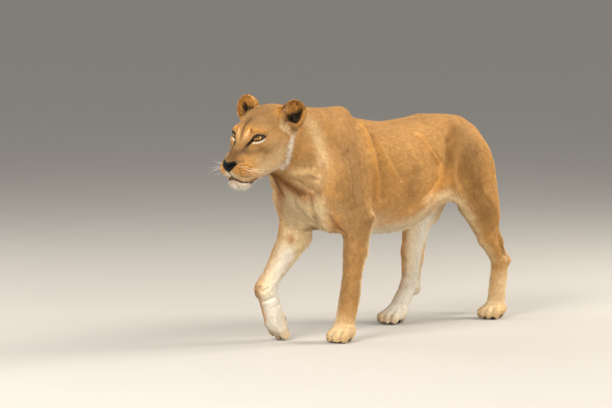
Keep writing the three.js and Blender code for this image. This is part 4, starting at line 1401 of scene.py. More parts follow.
@dataclass
class Skin:
    """The one skin that stands for every solid of flesh.

    Args:
        markings: her colours.
        plan: the lie of the coat.
        lids: the opening of the eyes.
        finish: the coat's material.
        voxel: the grid that the solids are joined on, in metres.
        swell: how far each solid grows to meet its neighbours, in millimetres.
        triangles: how many triangles are left for the whole skin before the face is refined.
        inset: how deep the skin lies under the coat, as a share of the coat's length.
        ironing: how many rounds of smoothing take the facets away.
        settling: how many rounds of smoothing follow the body's folds.
        fold_gain: how much deeper the body's folds are pressed than they are to end up.
        floor: how high the soles stand over the floor, in millimetres.
    """

    frame: dict
    markings: Markings
    plan: CoatPlan
    lids: Lids
    finish: bpy.types.Material
    voxel: float = 0.003
    swell: float = 0.45
    triangles: int = 150000
    inset: float = 0.32
    ironing: int = 42
    settling: int = 5
    fold_gain: float = 2.0
    floor: float = 0.3
    piece: bpy.types.Object = field(init=False)

    def joined(self) -> bpy.types.Object:
        """Joins copies of the solids, swollen until they meet, into one closed surface.

        Returns:
            The surface as one piece.
        """
        copies = [plain_copy(node) for node in self.frame["nodes"].values()]
        deselect()
        for copy in copies:
            copy.select_set(True)
        bpy.context.view_layer.objects.active = copies[0]
        bpy.ops.object.join()
        piece = bpy.context.view_layer.objects.active
        with editing():
            bpy.ops.mesh.remove_doubles(threshold=WELD)
        mesh = piece.data
        place_corners(mesh, corners_of(mesh) + normals_of(mesh) * self.swell)
        mesh.remesh_voxel_size = self.voxel
        bpy.ops.object.voxel_remesh()
        return piece

    def stiffness(self, corners: Rows) -> Rows:
        """Says how much each place keeps its shape while the facets are smoothed away.

        Args:
            corners: the places.

        Returns:
            A share from 0 to 1 for each place.
        """
        head = HEAD.into(corners)
        ear = smoothstep(70, 45, ear_distance(corners, EAR_MIDDLE))
        foot = smoothstep(90, 60, corners[:, 2])
        face = smoothstep(60, 20, head[:, 1]) * (corners[:, 2] > 560)
        return np.max([ear * 0.85, foot * 0.7, face * 0.45], axis=0)

    def smoothed(self, mesh: bpy.types.Mesh, rounds: int) -> None:
        """Irons out the facets without shrinking the body.

        Args:
            mesh: the skin's mesh.
            rounds: how many times.
        """
        corners = corners_of(mesh)
        a, b = fetch(mesh.edges, "vertices", 2, np.int32).T
        count = len(corners)
        degree = np.maximum(np.bincount(a, minlength=count) + np.bincount(b, minlength=count), 1)
        free = 1 - self.stiffness(corners)
        for _ in range(rounds):
            for step in SMOOTHING_STEPS:
                pull = np.column_stack([
                    (np.bincount(a, corners[b, i], count) + np.bincount(b, corners[a, i], count)) / degree
                    for i in range(3)
                ]) - corners
                corners = corners + pull * (step * free)[:, None]
        place_corners(mesh, corners)

    def thinned(self, piece: bpy.types.Object) -> None:
        """Thins the mesh, most on the body and least on the face, ears and feet.

        Args:
            piece: the skin.
        """
        mesh = piece.data
        corners = corners_of(mesh)
        head = HEAD.into(corners)
        face = smoothstep(150, 60, head[:, 1]) * (corners[:, 2] > 600)
        ear = (ear_distance(corners, EAR_MIDDLE) < 75).astype(float)
        foot = smoothstep(130, 60, corners[:, 2]) * 0.6
        fine = np.max([face, ear, foot], axis=0)
        group = piece.vertex_groups.new(name="thin")
        for level in range(6):
            chosen = np.nonzero((fine * 5).round().astype(int) == level)[0]
            if len(chosen):
                group.add(chosen.tolist(), 1.0 - level / 5.5, "REPLACE")
        modifier = piece.modifiers.new("thin", "DECIMATE")
        modifier.ratio = self.triangles / (len(mesh.polygons) * 2)
        modifier.vertex_group = "thin"
        modifier.vertex_group_factor = 3.0
        modifier.use_collapse_triangulate = True
        make_active(piece)
        bpy.ops.object.modifier_apply(modifier=modifier.name)
        piece.vertex_groups.clear()

    def refined(self, piece: bpy.types.Object, centre: Point, radius: float, longest: float) -> None:
        """Splits the long edges round a place on the head.

        Args:
            piece: the skin.
            centre: the place.
            radius: how far round it.
            longest: the length that no edge there is to pass.
        """
        for side in (1, -1) if centre[0] else (1,):
            for _ in range(3):
                bm = bmesh.new()
                bm.from_mesh(piece.data)
                co = HEAD.into(np.array([v.co for v in bm.verts]) / MM)
                near = np.linalg.norm(co - on_side(centre, side), axis=1) < radius
                edges = [
                    e for e in bm.edges
                    if near[e.verts[0].index] and near[e.verts[1].index] and e.calc_length() > longest * MM
                ]
                if edges:
                    bmesh.ops.subdivide_edges(bm, edges=edges, cuts=1, smooth=0.0)
                    bmesh.ops.triangulate(bm, faces=[f for f in bm.faces if len(f.verts) > 3])
                bm.to_mesh(piece.data)
                bm.free()
                if not edges:
                    break

    def moved(self, mesh: bpy.types.Mesh, strokes: tuple[Stroke, ...], gain: float = 1.0) -> None:
        """Raises and presses the skin along strokes.

        Args:
            mesh: the skin's mesh.
            strokes: the strokes.
            gain: what their depths are multiplied by.
        """
        corners, normals = corners_of(mesh), normals_of(mesh)
        places = Places(corners, normals)
        push = gain * sum(s.weight(places) * s.amount for s in strokes)
        place_corners(mesh, corners + normals * push[:, None])

    def grounded(self, mesh: bpy.types.Mesh) -> None:
        """Lifts what the smoothing has pushed through the floor.

        Args:
            mesh: the skin's mesh.
        """
        corners = corners_of(mesh)
        corners[:, 2] = np.maximum(corners[:, 2], self.floor)
        place_corners(mesh, corners)

    def dressed(self, mesh: bpy.types.Mesh) -> None:
        """Gives the skin its material, its markings and the masks of its hair.

        Args:
            mesh: the skin's mesh.
        """
        mesh.materials.clear()
        mesh.materials.append(self.finish)
        places = Places(corners_of(mesh), normals_of(mesh))
        paint(mesh, "coat_colour", self.markings.read(places) * UNDER_COAT)
        way, _, _ = self.plan.read(places)
        grade(mesh, "down", smoothstep(0.45, 0.85, np.abs(way[:, 2])))
        grade(mesh, "bare", self.markings.bare(places))

    def build(self) -> None:
        """Builds the skin and dresses it."""
        piece = self.joined()
        piece.name = piece.data.name = "skin"
        mesh = piece.data
        LOG.info("joined %d faces", len(mesh.polygons))
        self.smoothed(mesh, self.ironing)
        self.moved(mesh, BODY_FOLDS, self.fold_gain)
        self.smoothed(mesh, self.settling)
        places = Places(corners_of(mesh), normals_of(mesh))
        _, length, _ = self.chunked(places)
        place_corners(mesh, places.body - places.normal * (length * self.inset)[:, None])
        self.thinned(piece)
        LOG.info("thinned to %d faces", len(piece.data.polygons))
        for place, radius, longest in FINER:
            self.refined(piece, place, radius, longest)
        mesh = piece.data
        self.moved(mesh, FACE_FOLDS)
        head = HEAD.into(corners_of(mesh))
        for side in (1, -1):
            head = self.lids.shaped(head, side)
        place_corners(mesh, HEAD.out(head))
        self.grounded(mesh)
        make_active(piece)
        bpy.ops.object.shade_smooth()
        self.dressed(mesh)
        nodes = sorted(n for n in self.frame["nodes"] if not n.startswith("eye"))
        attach(piece, "root")
        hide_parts(*nodes)
        self.piece = piece
        LOG.info("skin: %d triangles", len(mesh.polygons))

    def chunked(self, places: Places) -> tuple[Rows, Rows, Rows]:
        """Reads the coat's plan in parts, to spare memory.

        Args:
            places: places on the skin.

        Returns:
            Their directions, lengths and widths.
        """
        parts = []
        for start in range(0, len(places.body), READ_AT_ONCE):
            chunk = slice(start, start + READ_AT_ONCE)
            parts.append(self.plan.read(Places(places.body[chunk], places.normal[chunk])))
        return tuple(np.concatenate(p) for p in zip(*parts))


# ---------------------------------------------------------------- eyes


@dataclass
class Eye:
    """One eyeball with its iris, and the dark wet edge of the lids round it.

    Args:
        side: 1 for her left eye, -1 for her right.
        gaze: how far it looks to her left and up, in degrees.
        lids: the opening round it.
        iris: the ball's material.
        dark: the material of the lids' edge.
        cornea: how far the cornea bulges, in millimetres.
        cornea_reach: how far the cornea spreads from the middle of the pupil, in degrees.
        iris_reach: the angle from the pupil's middle at which the iris colours end.
        edge_lift: how far the lids' edge stands off the ball.
        edge_depth: half the thickness of the lids' edge.
        upper_edge: half its width on the upper lid.
        lower_edge: half its width on the lower lid.
    """

    side: int
    gaze: tuple[float, float]
    lids: Lids
    iris: bpy.types.Material
    dark: bpy.types.Material
    cornea: float = 1.2
    cornea_reach: float = 40.0
    iris_reach: float = 66.0
    edge_lift: float = 1.0
    edge_depth: float = 1.2
    upper_edge: float = 2.3
    lower_edge: float = 1.6

    @property
    def name(self) -> str:
        """The side's name."""
        return "left" if self.side > 0 else "right"

    @property
    def centre(self) -> Rows:
        """The middle of the ball, in the head's frame."""
        return on_side(EYE_CENTRE, self.side)

    def ball(self) -> None:
        """Builds the ball: a sphere with a raised cornea where it looks."""
        deselect()
        bpy.ops.mesh.primitive_uv_sphere_add(segments=64, ring_count=48, radius=EYE_RADIUS * MM)
        piece = bpy.context.active_object
        piece.name = piece.data.name = f"eyeball_{self.name}"
        across, up = (math.radians(v) for v in self.gaze)
        look = np.array([math.sin(across) * math.cos(up), -math.cos(across) * math.cos(up), math.sin(up)])
        look = HEAD.axes @ look
        side = unit(np.cross([0, 0, 1.0], look))
        top = np.cross(look, side)
        local = corners_of(piece.data)
        # the sphere's pole is turned to where the eye looks
        turned = local @ np.array([side, top, look])
        off = np.degrees(np.arccos(np.clip(local[:, 2] / EYE_RADIUS, -1, 1)))
        bulge = self.cornea * np.clip(1 - (off / self.cornea_reach) ** 2, 0, 1) ** 1.2
        place_corners(piece.data, turned * (1 + bulge / EYE_RADIUS)[:, None] + HEAD.out(self.centre))
        bpy.ops.object.shade_smooth()
        grade(piece.data, "from_pupil", off / self.iris_reach)
        turn = np.arctan2(local[:, 1], local[:, 0])
        spokes = np.column_stack([np.cos(turn) * 3, np.sin(turn) * 3, off / self.cornea_reach])
        point(piece.data, "spokes", spokes, "POINT")
        piece.data.materials.append(self.iris)
        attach(piece, "root")
        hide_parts(f"eye_{self.name}")
        LOG.info("%s: %d faces", piece.name, len(piece.data.polygons))

    def rim(self) -> None:
        """Builds the dark edge of the lids, a thin band that follows the opening."""
        steps, ring = 72, 8
        turn = np.linspace(0, 2 * math.pi, steps, endpoint=False)
        t = np.cos(turn)
        upper = np.sin(turn) >= 0
        height = np.where(upper, self.lids.edge(t, True), self.lids.edge(t, False))
        across = np.radians(t * self.lids.half_width + self.lids.centre)
        up = np.radians(height)
        level = np.cos(up)
        out = np.column_stack([np.sin(across) * level * self.side, -np.cos(across) * level, np.sin(up)])
        middle = self.centre + out * (EYE_RADIUS + self.edge_lift)
        along = unit(np.roll(middle, -1, axis=0) - np.roll(middle, 1, axis=0))
        sideways = np.cross(along, out)
        half = np.where(upper, self.upper_edge, self.lower_edge)[:, None]
        corners = []
        for k in range(ring):
            a = 2 * math.pi * k / ring
            corners.append(middle + out * math.cos(a) * self.edge_depth + sideways * math.sin(a) * half)
        corners = np.stack(corners, axis=1).reshape(-1, 3)
        faces = []
        for i in range(steps):
            for k in range(ring):
                a, b = i * ring + k, i * ring + (k + 1) % ring
                c, d = (i + 1) % steps * ring + (k + 1) % ring, (i + 1) % steps * ring + k
                faces += [(a, b, c), (a, c, d)]
        piece = mesh_piece(f"lid_edge_{self.name}", HEAD.out(corners), np.array(faces))
        make_active(piece)
        with editing():
            bpy.ops.mesh.normals_make_consistent(inside=False)
        bpy.ops.object.shade_smooth()
        piece.data.materials.append(self.dark)
        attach(piece, "root")
        LOG.info("%s: %d triangles", piece.name, len(piece.data.polygons))


# ---------------------------------------------------------------- the coat


# how far a degree reaches over an eyeball, in millimetres
DEGREE_LENGTH = 0.33
# no root is lower than these, in millimetres, so that the soles rest on bare skin
LOWEST_ROOT = 2.5
LOWEST_LOCK = 3.0


@dataclass
class Roots:
    """Where tufts grow: their roots, directions, lengths, widths and places on the unwrapped skin."""

    places: Places
    way: Rows
    length: Rows
    width: Rows
    flat: Rows

    def only(self, chosen: Rows) -> "Roots":
        """The chosen ones of these roots."""
        places = Places(self.places.body[chosen], self.places.normal[chosen])
        return Roots(places, self.way[chosen], self.length[chosen], self.width[chosen], self.flat[chosen])


@dataclass
class Surface:
    """A mesh as arrays, to strew roots on."""

    mesh: bpy.types.Mesh
    triangles: Rows = field(init=False)
    corners: Rows = field(init=False)
    normals: Rows = field(init=False)
    areas: Rows = field(init=False)
    centres: Places = field(init=False)

    def __post_init__(self) -> None:
        """Reads the mesh."""
        self.triangles = triangles_of(self.mesh)
        self.corners, self.normals = corners_of(self.mesh), normals_of(self.mesh)
        a, b, c = (self.corners[self.triangles[:, i]] for i in range(3))
        self.areas = np.linalg.norm(np.cross(b - a, c - a), axis=1) / 2
        self.centres = Places((a + b + c) / 3, unit(self.normals[self.triangles].mean(axis=1)))

    def blended(self, values: Rows, chosen: Rows, shares: tuple[Rows, Rows, Rows]) -> Rows:
        """Blends the corners' values in the chosen triangles, by each corner's share."""
        a, b, c = (values[self.triangles[chosen, i]] * share[:, None] for i, share in enumerate(shares))
        return a + b + c


def random_shares(count: int, rng: np.random.Generator) -> tuple[Rows, Rows, Rows]:
    """Draws random places in triangles.

    Args:
        count: how many.
        rng: the draw.

    Returns:
        The shares of the three corners.
    """
    u, v = rng.uniform(0, 1, (2, count))
    beyond = u + v > 1
    u, v = np.where(beyond, 1 - u, u), np.where(beyond, 1 - v, v)
    return 1 - u - v, u, v


@dataclass
class Unwrap:
    """The skin laid flat, read from a light copy of it.

    Args:
        skin: the skin.
        share: the share of its triangles that the light copy keeps.
        margin: how far from the map's edge every place stays.
    """

    skin: bpy.types.Object
    share: float = 0.03
    margin: float = 0.002
    tree: BVHTree = field(init=False)
    corners: Rows = field(init=False)
    triangles: Rows = field(init=False)
    flat: Rows = field(init=False)

    def __post_init__(self) -> None:
        """Makes the copy, unwraps it, reads it and removes it."""
        copy = plain_copy(self.skin)
        make_active(copy)
        modifier = copy.modifiers.new("light", "DECIMATE")
        modifier.ratio = self.share
        bpy.ops.object.modifier_apply(modifier=modifier.name)
        with editing():
            bpy.ops.mesh.quads_convert_to_tris()
            bpy.ops.uv.smart_project(angle_limit=math.radians(66), island_margin=0.004)
        mesh = copy.data
        self.triangles, self.corners = triangles_of(mesh), corners_of(mesh)
        self.flat = fetch(mesh.uv_layers.active.uv, "vector", 2)[
            fetch(mesh.loop_triangles, "loops", 3, np.int32)
        ]
        self.tree = BVHTree.FromPolygons([Vector(c) for c in self.corners], self.triangles.tolist())
        bpy.data.objects.remove(copy)

    def places(self, points: Rows) -> Rows:
        """Finds where points of the skin lie on the map.

        Args:
            points: the points.

        Returns:
            Their places on the map.
        """
        hits = [self.tree.find_nearest(Vector(p)) for p in points]
        spot = np.array([tuple(hit[0]) for hit in hits])
        face = np.array([hit[2] for hit in hits])
        a, b, c = (self.corners[self.triangles[face, i]] for i in range(3))
        ab, ac, ap = b - a, c - a, spot - a
        d00, d01, d11 = (ab * ab).sum(1), (ab * ac).sum(1), (ac * ac).sum(1)
        d20, d21 = (ap * ab).sum(1), (ap * ac).sum(1)
        below = np.maximum(d00 * d11 - d01 * d01, 1e-9)
        v = np.clip((d11 * d20 - d01 * d21) / below, 0, 1)
        w = np.clip((d00 * d21 - d01 * d20) / below, 0, 1)
        shares = ((1 - v - w)[:, None], v[:, None], w[:, None])
        found = sum(self.flat[face, i] * share for i, share in enumerate(shares))
        return np.clip(found, self.margin, 1 - self.margin)


class Wall(Enum):
    """The three long walls of a tuft, in the order of their shading normals."""

    UNDER = 0
    RIGHT = 1
    LEFT = 2


# a ring of a tuft has a left, a right and a top corner: each wall's first and second one
WALLS = ((0, 1, Wall.UNDER), (1, 2, Wall.RIGHT), (2, 0, Wall.LEFT))
RING = 3


def tuft_faces(bends: int) -> tuple[Rows, list[int]]:
    """Numbers the triangles of one tuft.

    Args:
        bends: how many rings it has between its root and its tip.

    Returns:
        The triangles as rows of corners, and the number of the wall that each belongs to.
    """
    faces, walls = [(0, 2, 1)], [Wall.UNDER.value]
    for ring in range(bends):
        a = ring * RING
        for i, j, wall in WALLS:
            faces += [(a + i, a + j, a + RING + j), (a + i, a + RING + j, a + RING + i)]
            walls += [wall.value, wall.value]
    a = bends * RING
    tip = a + RING
    for i, j, wall in WALLS:
        faces.append((a + i, a + j, tip))
        walls.append(wall.value)
    return np.array(faces), walls


@dataclass
class Drawn:
    """What chance gives each tuft: its direction and side, length, width and lift in radians."""

    way: Rows
    side: Rows
    length: Rows
    width: Rows
    lift: Rows


@dataclass
class Coat:
    """The tufts over the skin, in pieces by region.

    Args:
        skin: the skin.
        markings: her colours.
        cover: how many times over the tufts cover the skin.
        lift: the angle at which a tuft rises from the skin, in degrees.
        root_depth: how deep a tuft's root stands in the skin, in millimetres.
        floor: the lowest that a tuft reaches, in millimetres.
        most: how many tufts a piece has at the most.
        patch: the width of a tuft's patch on the bake map.
    """

    skin: Skin
    markings: Markings
    cover: float = 2.8
    lift: float = 15.0
    root_depth: float = 0.7
    floor: float = 0.4
    most: int = 48000
    patch: float = 0.003
    unwrap: Unwrap = field(init=False)
    surface: Surface = field(init=False)

    def opening(self, places: Places) -> Rows:
        """Finds the open eyes.

        Args:
            places: places on her.

        Returns:
            One weight from 0 to 1 for each place.
        """
        lids = self.skin.lids
        points = np.column_stack([np.abs(places.head[:, 0]), places.head[:, 1:]])
        far, across, height = lids.seen(points - np.array(EYE_CENTRE), 1)
        t = across / lids.half_width
        inside = np.minimum(lids.edge(t, True) - height, height - lids.edge(t, False)) * DEGREE_LENGTH
        return smoothstep(-2.6, -1.2, inside) * (far < 26) * (np.abs(t) < 1.12)

    def rooted(self, rng: np.random.Generator) -> Roots:
        """Scatters the roots evenly for the coat's length and width, away from bare skin.

        Args:
            rng: the draw.

        Returns:
            The roots.
        """
        surface = self.surface
        way, length, width = self.skin.chunked(surface.centres)
        cover = self.cover * 1.0
        wanted = surface.areas * cover / (length * width) * (1 - self.markings.bare(surface.centres))
        wanted *= 1 - self.opening(surface.centres)
        summed = np.cumsum(wanted)
        total = int(summed[-1])
        at = (np.arange(total) + rng.uniform(0, 1, total)) * summed[-1] / total
        chosen = np.searchsorted(summed, at).clip(0, len(wanted) - 1)
        shares = random_shares(total, rng)
        places = Places(
            surface.blended(surface.corners, chosen, shares),
            unit(surface.blended(surface.normals, chosen, shares)),
        )
        turn = way[chosen]
        turn = unit(turn - (turn * places.normal).sum(axis=1, keepdims=True) * places.normal)
        keep = (self.markings.bare(places) < 0.4) & (self.opening(places) < 0.3)
        keep &= places.body[:, 2] > LOWEST_ROOT
        places = Places(places.body[keep], places.normal[keep])
        length, width = length[chosen][keep], width[chosen][keep]
        return Roots(places, turn[keep], length, width, self.unwrap.places(places.body))

    def drawn(self, roots: Roots, rng: np.random.Generator) -> Drawn:
        """Gives each tuft its own turn, length, width and lift.

        Args:
            roots: the roots.
            rng: the draw.

        Returns:
            What each tuft drew.
        """
        p, count = roots.places.body, len(roots.length)
        spin = 0.16 * rng.normal(size=count) + 0.22 * waves(p, 26, 21) + 0.12 * waves(p, 9, 22)
        side = np.cross(roots.places.normal, roots.way)
        way = roots.way * np.cos(spin)[:, None] + side * np.sin(spin)[:, None]
        length = roots.length * rng.uniform(0.75, 1.2, count)
        width = roots.width * rng.uniform(0.75, 1.2, count)
        lift = np.radians(self.lift + rng.normal(size=count) * 4 + 3 * waves(p, 20, 23))
        return Drawn(way, np.cross(roots.places.normal, way), length, width, lift)

    def bent(self, roots: Roots, tufts: Drawn, bends: int) -> Rows:
        """Places the corners of the tufts: three at each root and bend, and one at each tip.

        Args:
            roots: their roots.
            tufts: what they drew.
            bends: how many bends each has.

        Returns:
            One row of corners for each tuft.
        """
        p, n = roots.places.body, roots.places.normal
        rows = []
        for ring in range(bends + 1):
            s = ring / (bends + 1)
            rise = tufts.lift * (1 - 0.45 * s)
            forward = tufts.length * s * np.cos(rise)
            upward = tufts.length * s * np.sin(rise) - self.root_depth * (ring == 0)
            middle = p + tufts.way * forward[:, None] + n * upward[:, None]
            half = (tufts.width * 0.5 * (1 - s) ** 0.8)[:, None]
            rows += [middle - tufts.side * half, middle + tufts.side * half]
            rows.append(middle + n * half * 0.7 - tufts.way * half * 0.5)
        forward = tufts.length * np.cos(tufts.lift * 0.6)
        upward = tufts.length * np.sin(tufts.lift * 0.6)
        rows.append(p + tufts.way * forward[:, None] + n * upward[:, None])
        corners = np.stack(rows, axis=1)
        corners[:, :, 2] = np.maximum(corners[:, :, 2], self.floor)
        return corners

    def colours(self, roots: Roots, bends: int, rng: np.random.Generator) -> Rows:
        """Colours each tuft's corners: darker at the root, and no two tufts quite alike.

        Args:
            roots: the roots.
            bends: how many bends each has.
            rng: the draw.

        Returns:
            One row of colours for each tuft.
        """
        shade = np.exp(rng.normal(size=len(roots.length)) * 0.13 + 0.09 * waves(roots.places.body, 14, 24))
        along = np.repeat(np.linspace(0, 1, bends + 2), [RING] * (bends + 1) + [1])
        tint = 0.80 + 0.36 * along
        own = self.markings.read(roots.places)
        return np.clip(own[:, None, :] * shade[:, None, None] * tint[None, :, None], 0, 1)

    def leans(self, roots: Roots, tufts: Drawn, rng: np.random.Generator) -> Rows:
        """Turns the shading normals of the tufts near the skin's own, so that they look soft.

        Args:
            roots: the roots.
            tufts: what the tufts drew.
            rng: the draw.

        Returns:
            Three normals for each tuft, one for each wall.
        """
        n, way, side = roots.places.normal, tufts.way, tufts.side
        count, edged = len(n), smoothstep(80, 60, ear_distance(roots.places.body, EAR_BACK))
        sideways = rng.normal(size=count) * 0.12
        forward = 0.10 + rng.normal(size=count) * 0.10
        lean = n + side * sideways[:, None] + way * forward[:, None]
        lean = unit(lean) * (1 - 0.5 * edged)[:, None]
        bow = side * (0.3 + 0.9 * edged)[:, None]
        return unit(np.stack([way * 0.3 - n, lean + bow, lean - bow], axis=1))

    def bake_map(self, roots: Roots, bends: int, faces: Rows) -> Rows:
        """Lays each tuft in a small patch at its root's place on the unwrapped skin.

        Args:
            roots: the roots.
            bends: how many bends each tuft has.
            faces: one tuft's triangles.

        Returns:
            A place on the map for each face corner.
        """
        rings = bends + 1
        spots = np.array([(-1, -1), (1, -1), (0, -0.6)] * rings + [(0, 1)], float) * self.patch / 2
        spots[: RING * rings, 1] += np.repeat(np.arange(rings) / rings, RING) * self.patch
        return np.clip((roots.flat[:, None, :] + spots[None])[:, faces.ravel(), :].reshape(-1, 2), 0, 1)

    def tufts(self, name: str, roots: Roots, seed: int, bends: int = 0) -> None:
        """Grows one piece of the coat: one thin closed solid for each tuft.

        Args:
            name: the piece's name.
            roots: where its tufts grow.
            seed: its random seed.
            bends: how many rings a tuft has between root and tip.
        """
        rng = np.random.default_rng(seed)
        tufts = self.drawn(roots, rng)
        corners = self.bent(roots, tufts, bends)
        count, per = corners.shape[:2]
        faces, walls = tuft_faces(bends)
        triangles = (np.arange(count)[:, None, None] * per + faces[None]).reshape(-1, 3)
        piece = mesh_piece(name, corners.reshape(-1, 3), triangles)
        mesh = piece.data
        paint(mesh, "coat_colour", self.colours(roots, bends, rng).reshape(-1, 3))
        grade(mesh, "down", np.repeat(smoothstep(0.45, 0.85, np.abs(tufts.way[:, 2])), per))
        mesh.shade_smooth()
        normals = np.repeat(self.leans(roots, tufts, rng)[:, walls], 3, axis=1)
        point(mesh, "custom_normal", normals, "CORNER")
        layer = mesh.uv_layers.new(name="OFBake")
        store(layer.uv, "vector", self.bake_map(roots, bends, faces))
        mesh.materials.append(self.skin.finish)
        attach(piece, "root")
        LOG.info("%s: %d tufts, %d triangles", name, count, len(triangles))

    def regions(self, places: Places) -> dict[str, Rows]:
        """Parts the coat into pieces.

        Args:
            places: the roots.

        Returns:
            For each region, which roots are in it.
        """
        x, y, z = places.body.T
        tail = (np.abs(x) < 45) & (y > 668) & (z < 740)
        head = (places.head[:, 1] < 100) & (z > 560) & ~tail
        nape = ~head & (y < -400) & (z > 470)
        fore = ~head & ~nape & (z < 480) & (y < -90) & (np.abs(x) > 40)
        hind = ~tail & (z < 560) & (y > 180) & (np.abs(x) > 20)
        rest = ~(tail | head | nape | fore | hind)
        return {
            "head": head,
            "neck": nape,
            "forelegs": fore,
            "hindlegs": hind | tail,
            "shoulders": rest & (y < -100),
            "ribs": rest & (y >= -100) & (y < 260),
            "rump": rest & (y >= 260),
        }

    def build(self) -> None:
        """Grows the whole coat."""
        self.unwrap = Unwrap(self.skin.piece)
        self.surface = Surface(self.skin.piece.data)
        roots = self.rooted(np.random.default_rng(SEED))
        for i, (name, inside) in enumerate(self.regions(roots.places).items()):
            chosen = np.nonzero(inside)[0]
            parts = max(1, math.ceil(len(chosen) / self.most))
            order = chosen[np.argsort(roots.places.body[chosen, 2])]
            for k, part in enumerate(np.array_split(order, parts)):
                label = f"coat_{name}" + (f"_{k + 1}" if parts > 1 else "")
                self.tufts(label, roots.only(part), SEED + 10 * i + k)
        self.locks()

    def locks(self) -> None:
        """Grows the longer hair: chin, cheeks, ears, elbow, belly and the end of the tail."""
        surface = self.surface
        rng = np.random.default_rng(SEED + 500)
        chosen, turns, sizes = [], [], []
        for lock in LOCKS:
            weight = lock.stroke.weight(surface.centres) * surface.areas
            weight *= weight > 0.05 * surface.areas
            count = int(lock.count * (1.0))
            faces = rng.choice(len(weight), count, p=weight / weight.sum())
            chosen.append(faces)
            turns.append(lock.pointed(surface.centres.head[faces, 0], rng))
            sizes.append(np.tile((lock.length, lock.width, lock.rise), (count, 1)))
        chosen, turn = np.concatenate(chosen), np.concatenate(turns)
        length, width, rise = np.concatenate(sizes).T
        points = surface.blended(surface.corners, chosen, random_shares(len(chosen), rng))
        normal = surface.centres.normal[chosen]
        along = unit(turn - (turn * normal).sum(axis=1, keepdims=True) * normal)
        turn = unit(along * (1 - rise[:, None]) + unit(turn) * rise[:, None])
        keep = points[:, 2] > LOWEST_LOCK
        places = Places(points[keep], normal[keep])
        roots = Roots(places, turn[keep], length[keep], width[keep], self.unwrap.places(places.body))
        self.tufts("coat_locks", roots, SEED + 900, bends=1)


@dataclass(frozen=True)
class Lock:
    """A patch of longer hair.

    Args:
        stroke: where it grows.
        count: how many tufts it has.
        length: their length.
        width: their width.
        way: the direction that they point, in the stroke's frame.
        rise: from 0, flat along the skin, to 1, straight in that direction.
        stray: how far a tuft's own direction strays.
    """

    stroke: Stroke
    count: int
    length: float
    width: float
    way: Point
    rise: float
    stray: float = 0.12

    def pointed(self, across: Rows, rng: np.random.Generator) -> Rows:
        """Gives each tuft its direction.

        Args:
            across: how far to her left each root is, in the head's frame.
            rng: the draw.

        Returns:
            One direction on the body for each tuft.
        """
        way = np.tile(np.array(self.way, float), (len(across), 1))
        if self.stroke.space is Space.HEAD:
            way[:, 0] *= np.where(across < 0, -1.0, 1.0)
            way = way @ HEAD.axes.T
        return way + rng.normal(size=way.shape) * self.stray


CHIN = Stroke(((0, -108, -168), (26, -92, -172), (44, -60, -178)), 12)
CHEEK_EDGE = Stroke(((112, 112, -50), (108, 96, -86), (94, 94, -128), (72, 90, -154)), 12)
EAR_FRONT = Stroke(((80, 112, 30), (92, 100, 16), (100, 104, 0)), 12)
ELBOW = Stroke(((184, -196, 500), (180, -190, 440), (172, -200, 350)), 12, 1, Space.BODY, False)
BELLY = Stroke(((50, -60, 400), (60, 80, 396), (100, 150, 440), (120, 220, 500)), 30, 1, Space.BODY)
TAIL_TUFT = Stroke(((3, 815, 215), (3, 815, 140)), 30, 1, Space.BODY, False)
THIGH_BACK = Stroke(((100, 668, 640), (122, 672, 520), (115, 712, 360)), 14, 1, Space.BODY, False)

LOCKS: tuple[Lock, ...] = (
    Lock(CHIN, 700, 17, 1.2, (0, 0.35, -1), 0.45),
    Lock(CHEEK_EDGE, 900, 22, 1.5, (0.1, 0.7, -0.8), 0.2),
    Lock(EAR_FRONT, 500, 24, 1.3, (0.3, 0.3, 0.8), 0.5),
    Lock(ELBOW, 700, 22, 1.5, (0.0, 0.55, -0.9), 0.35),
    Lock(BELLY, 1800, 26, 1.8, (0, 0.8, -0.55), 0.2),
    Lock(TAIL_TUFT, 1500, 34, 1.6, (0, 0.02, -1), 0.5),
    Lock(THIGH_BACK, 700, 20, 1.5, (0, 0.5, -0.85), 0.2),
)


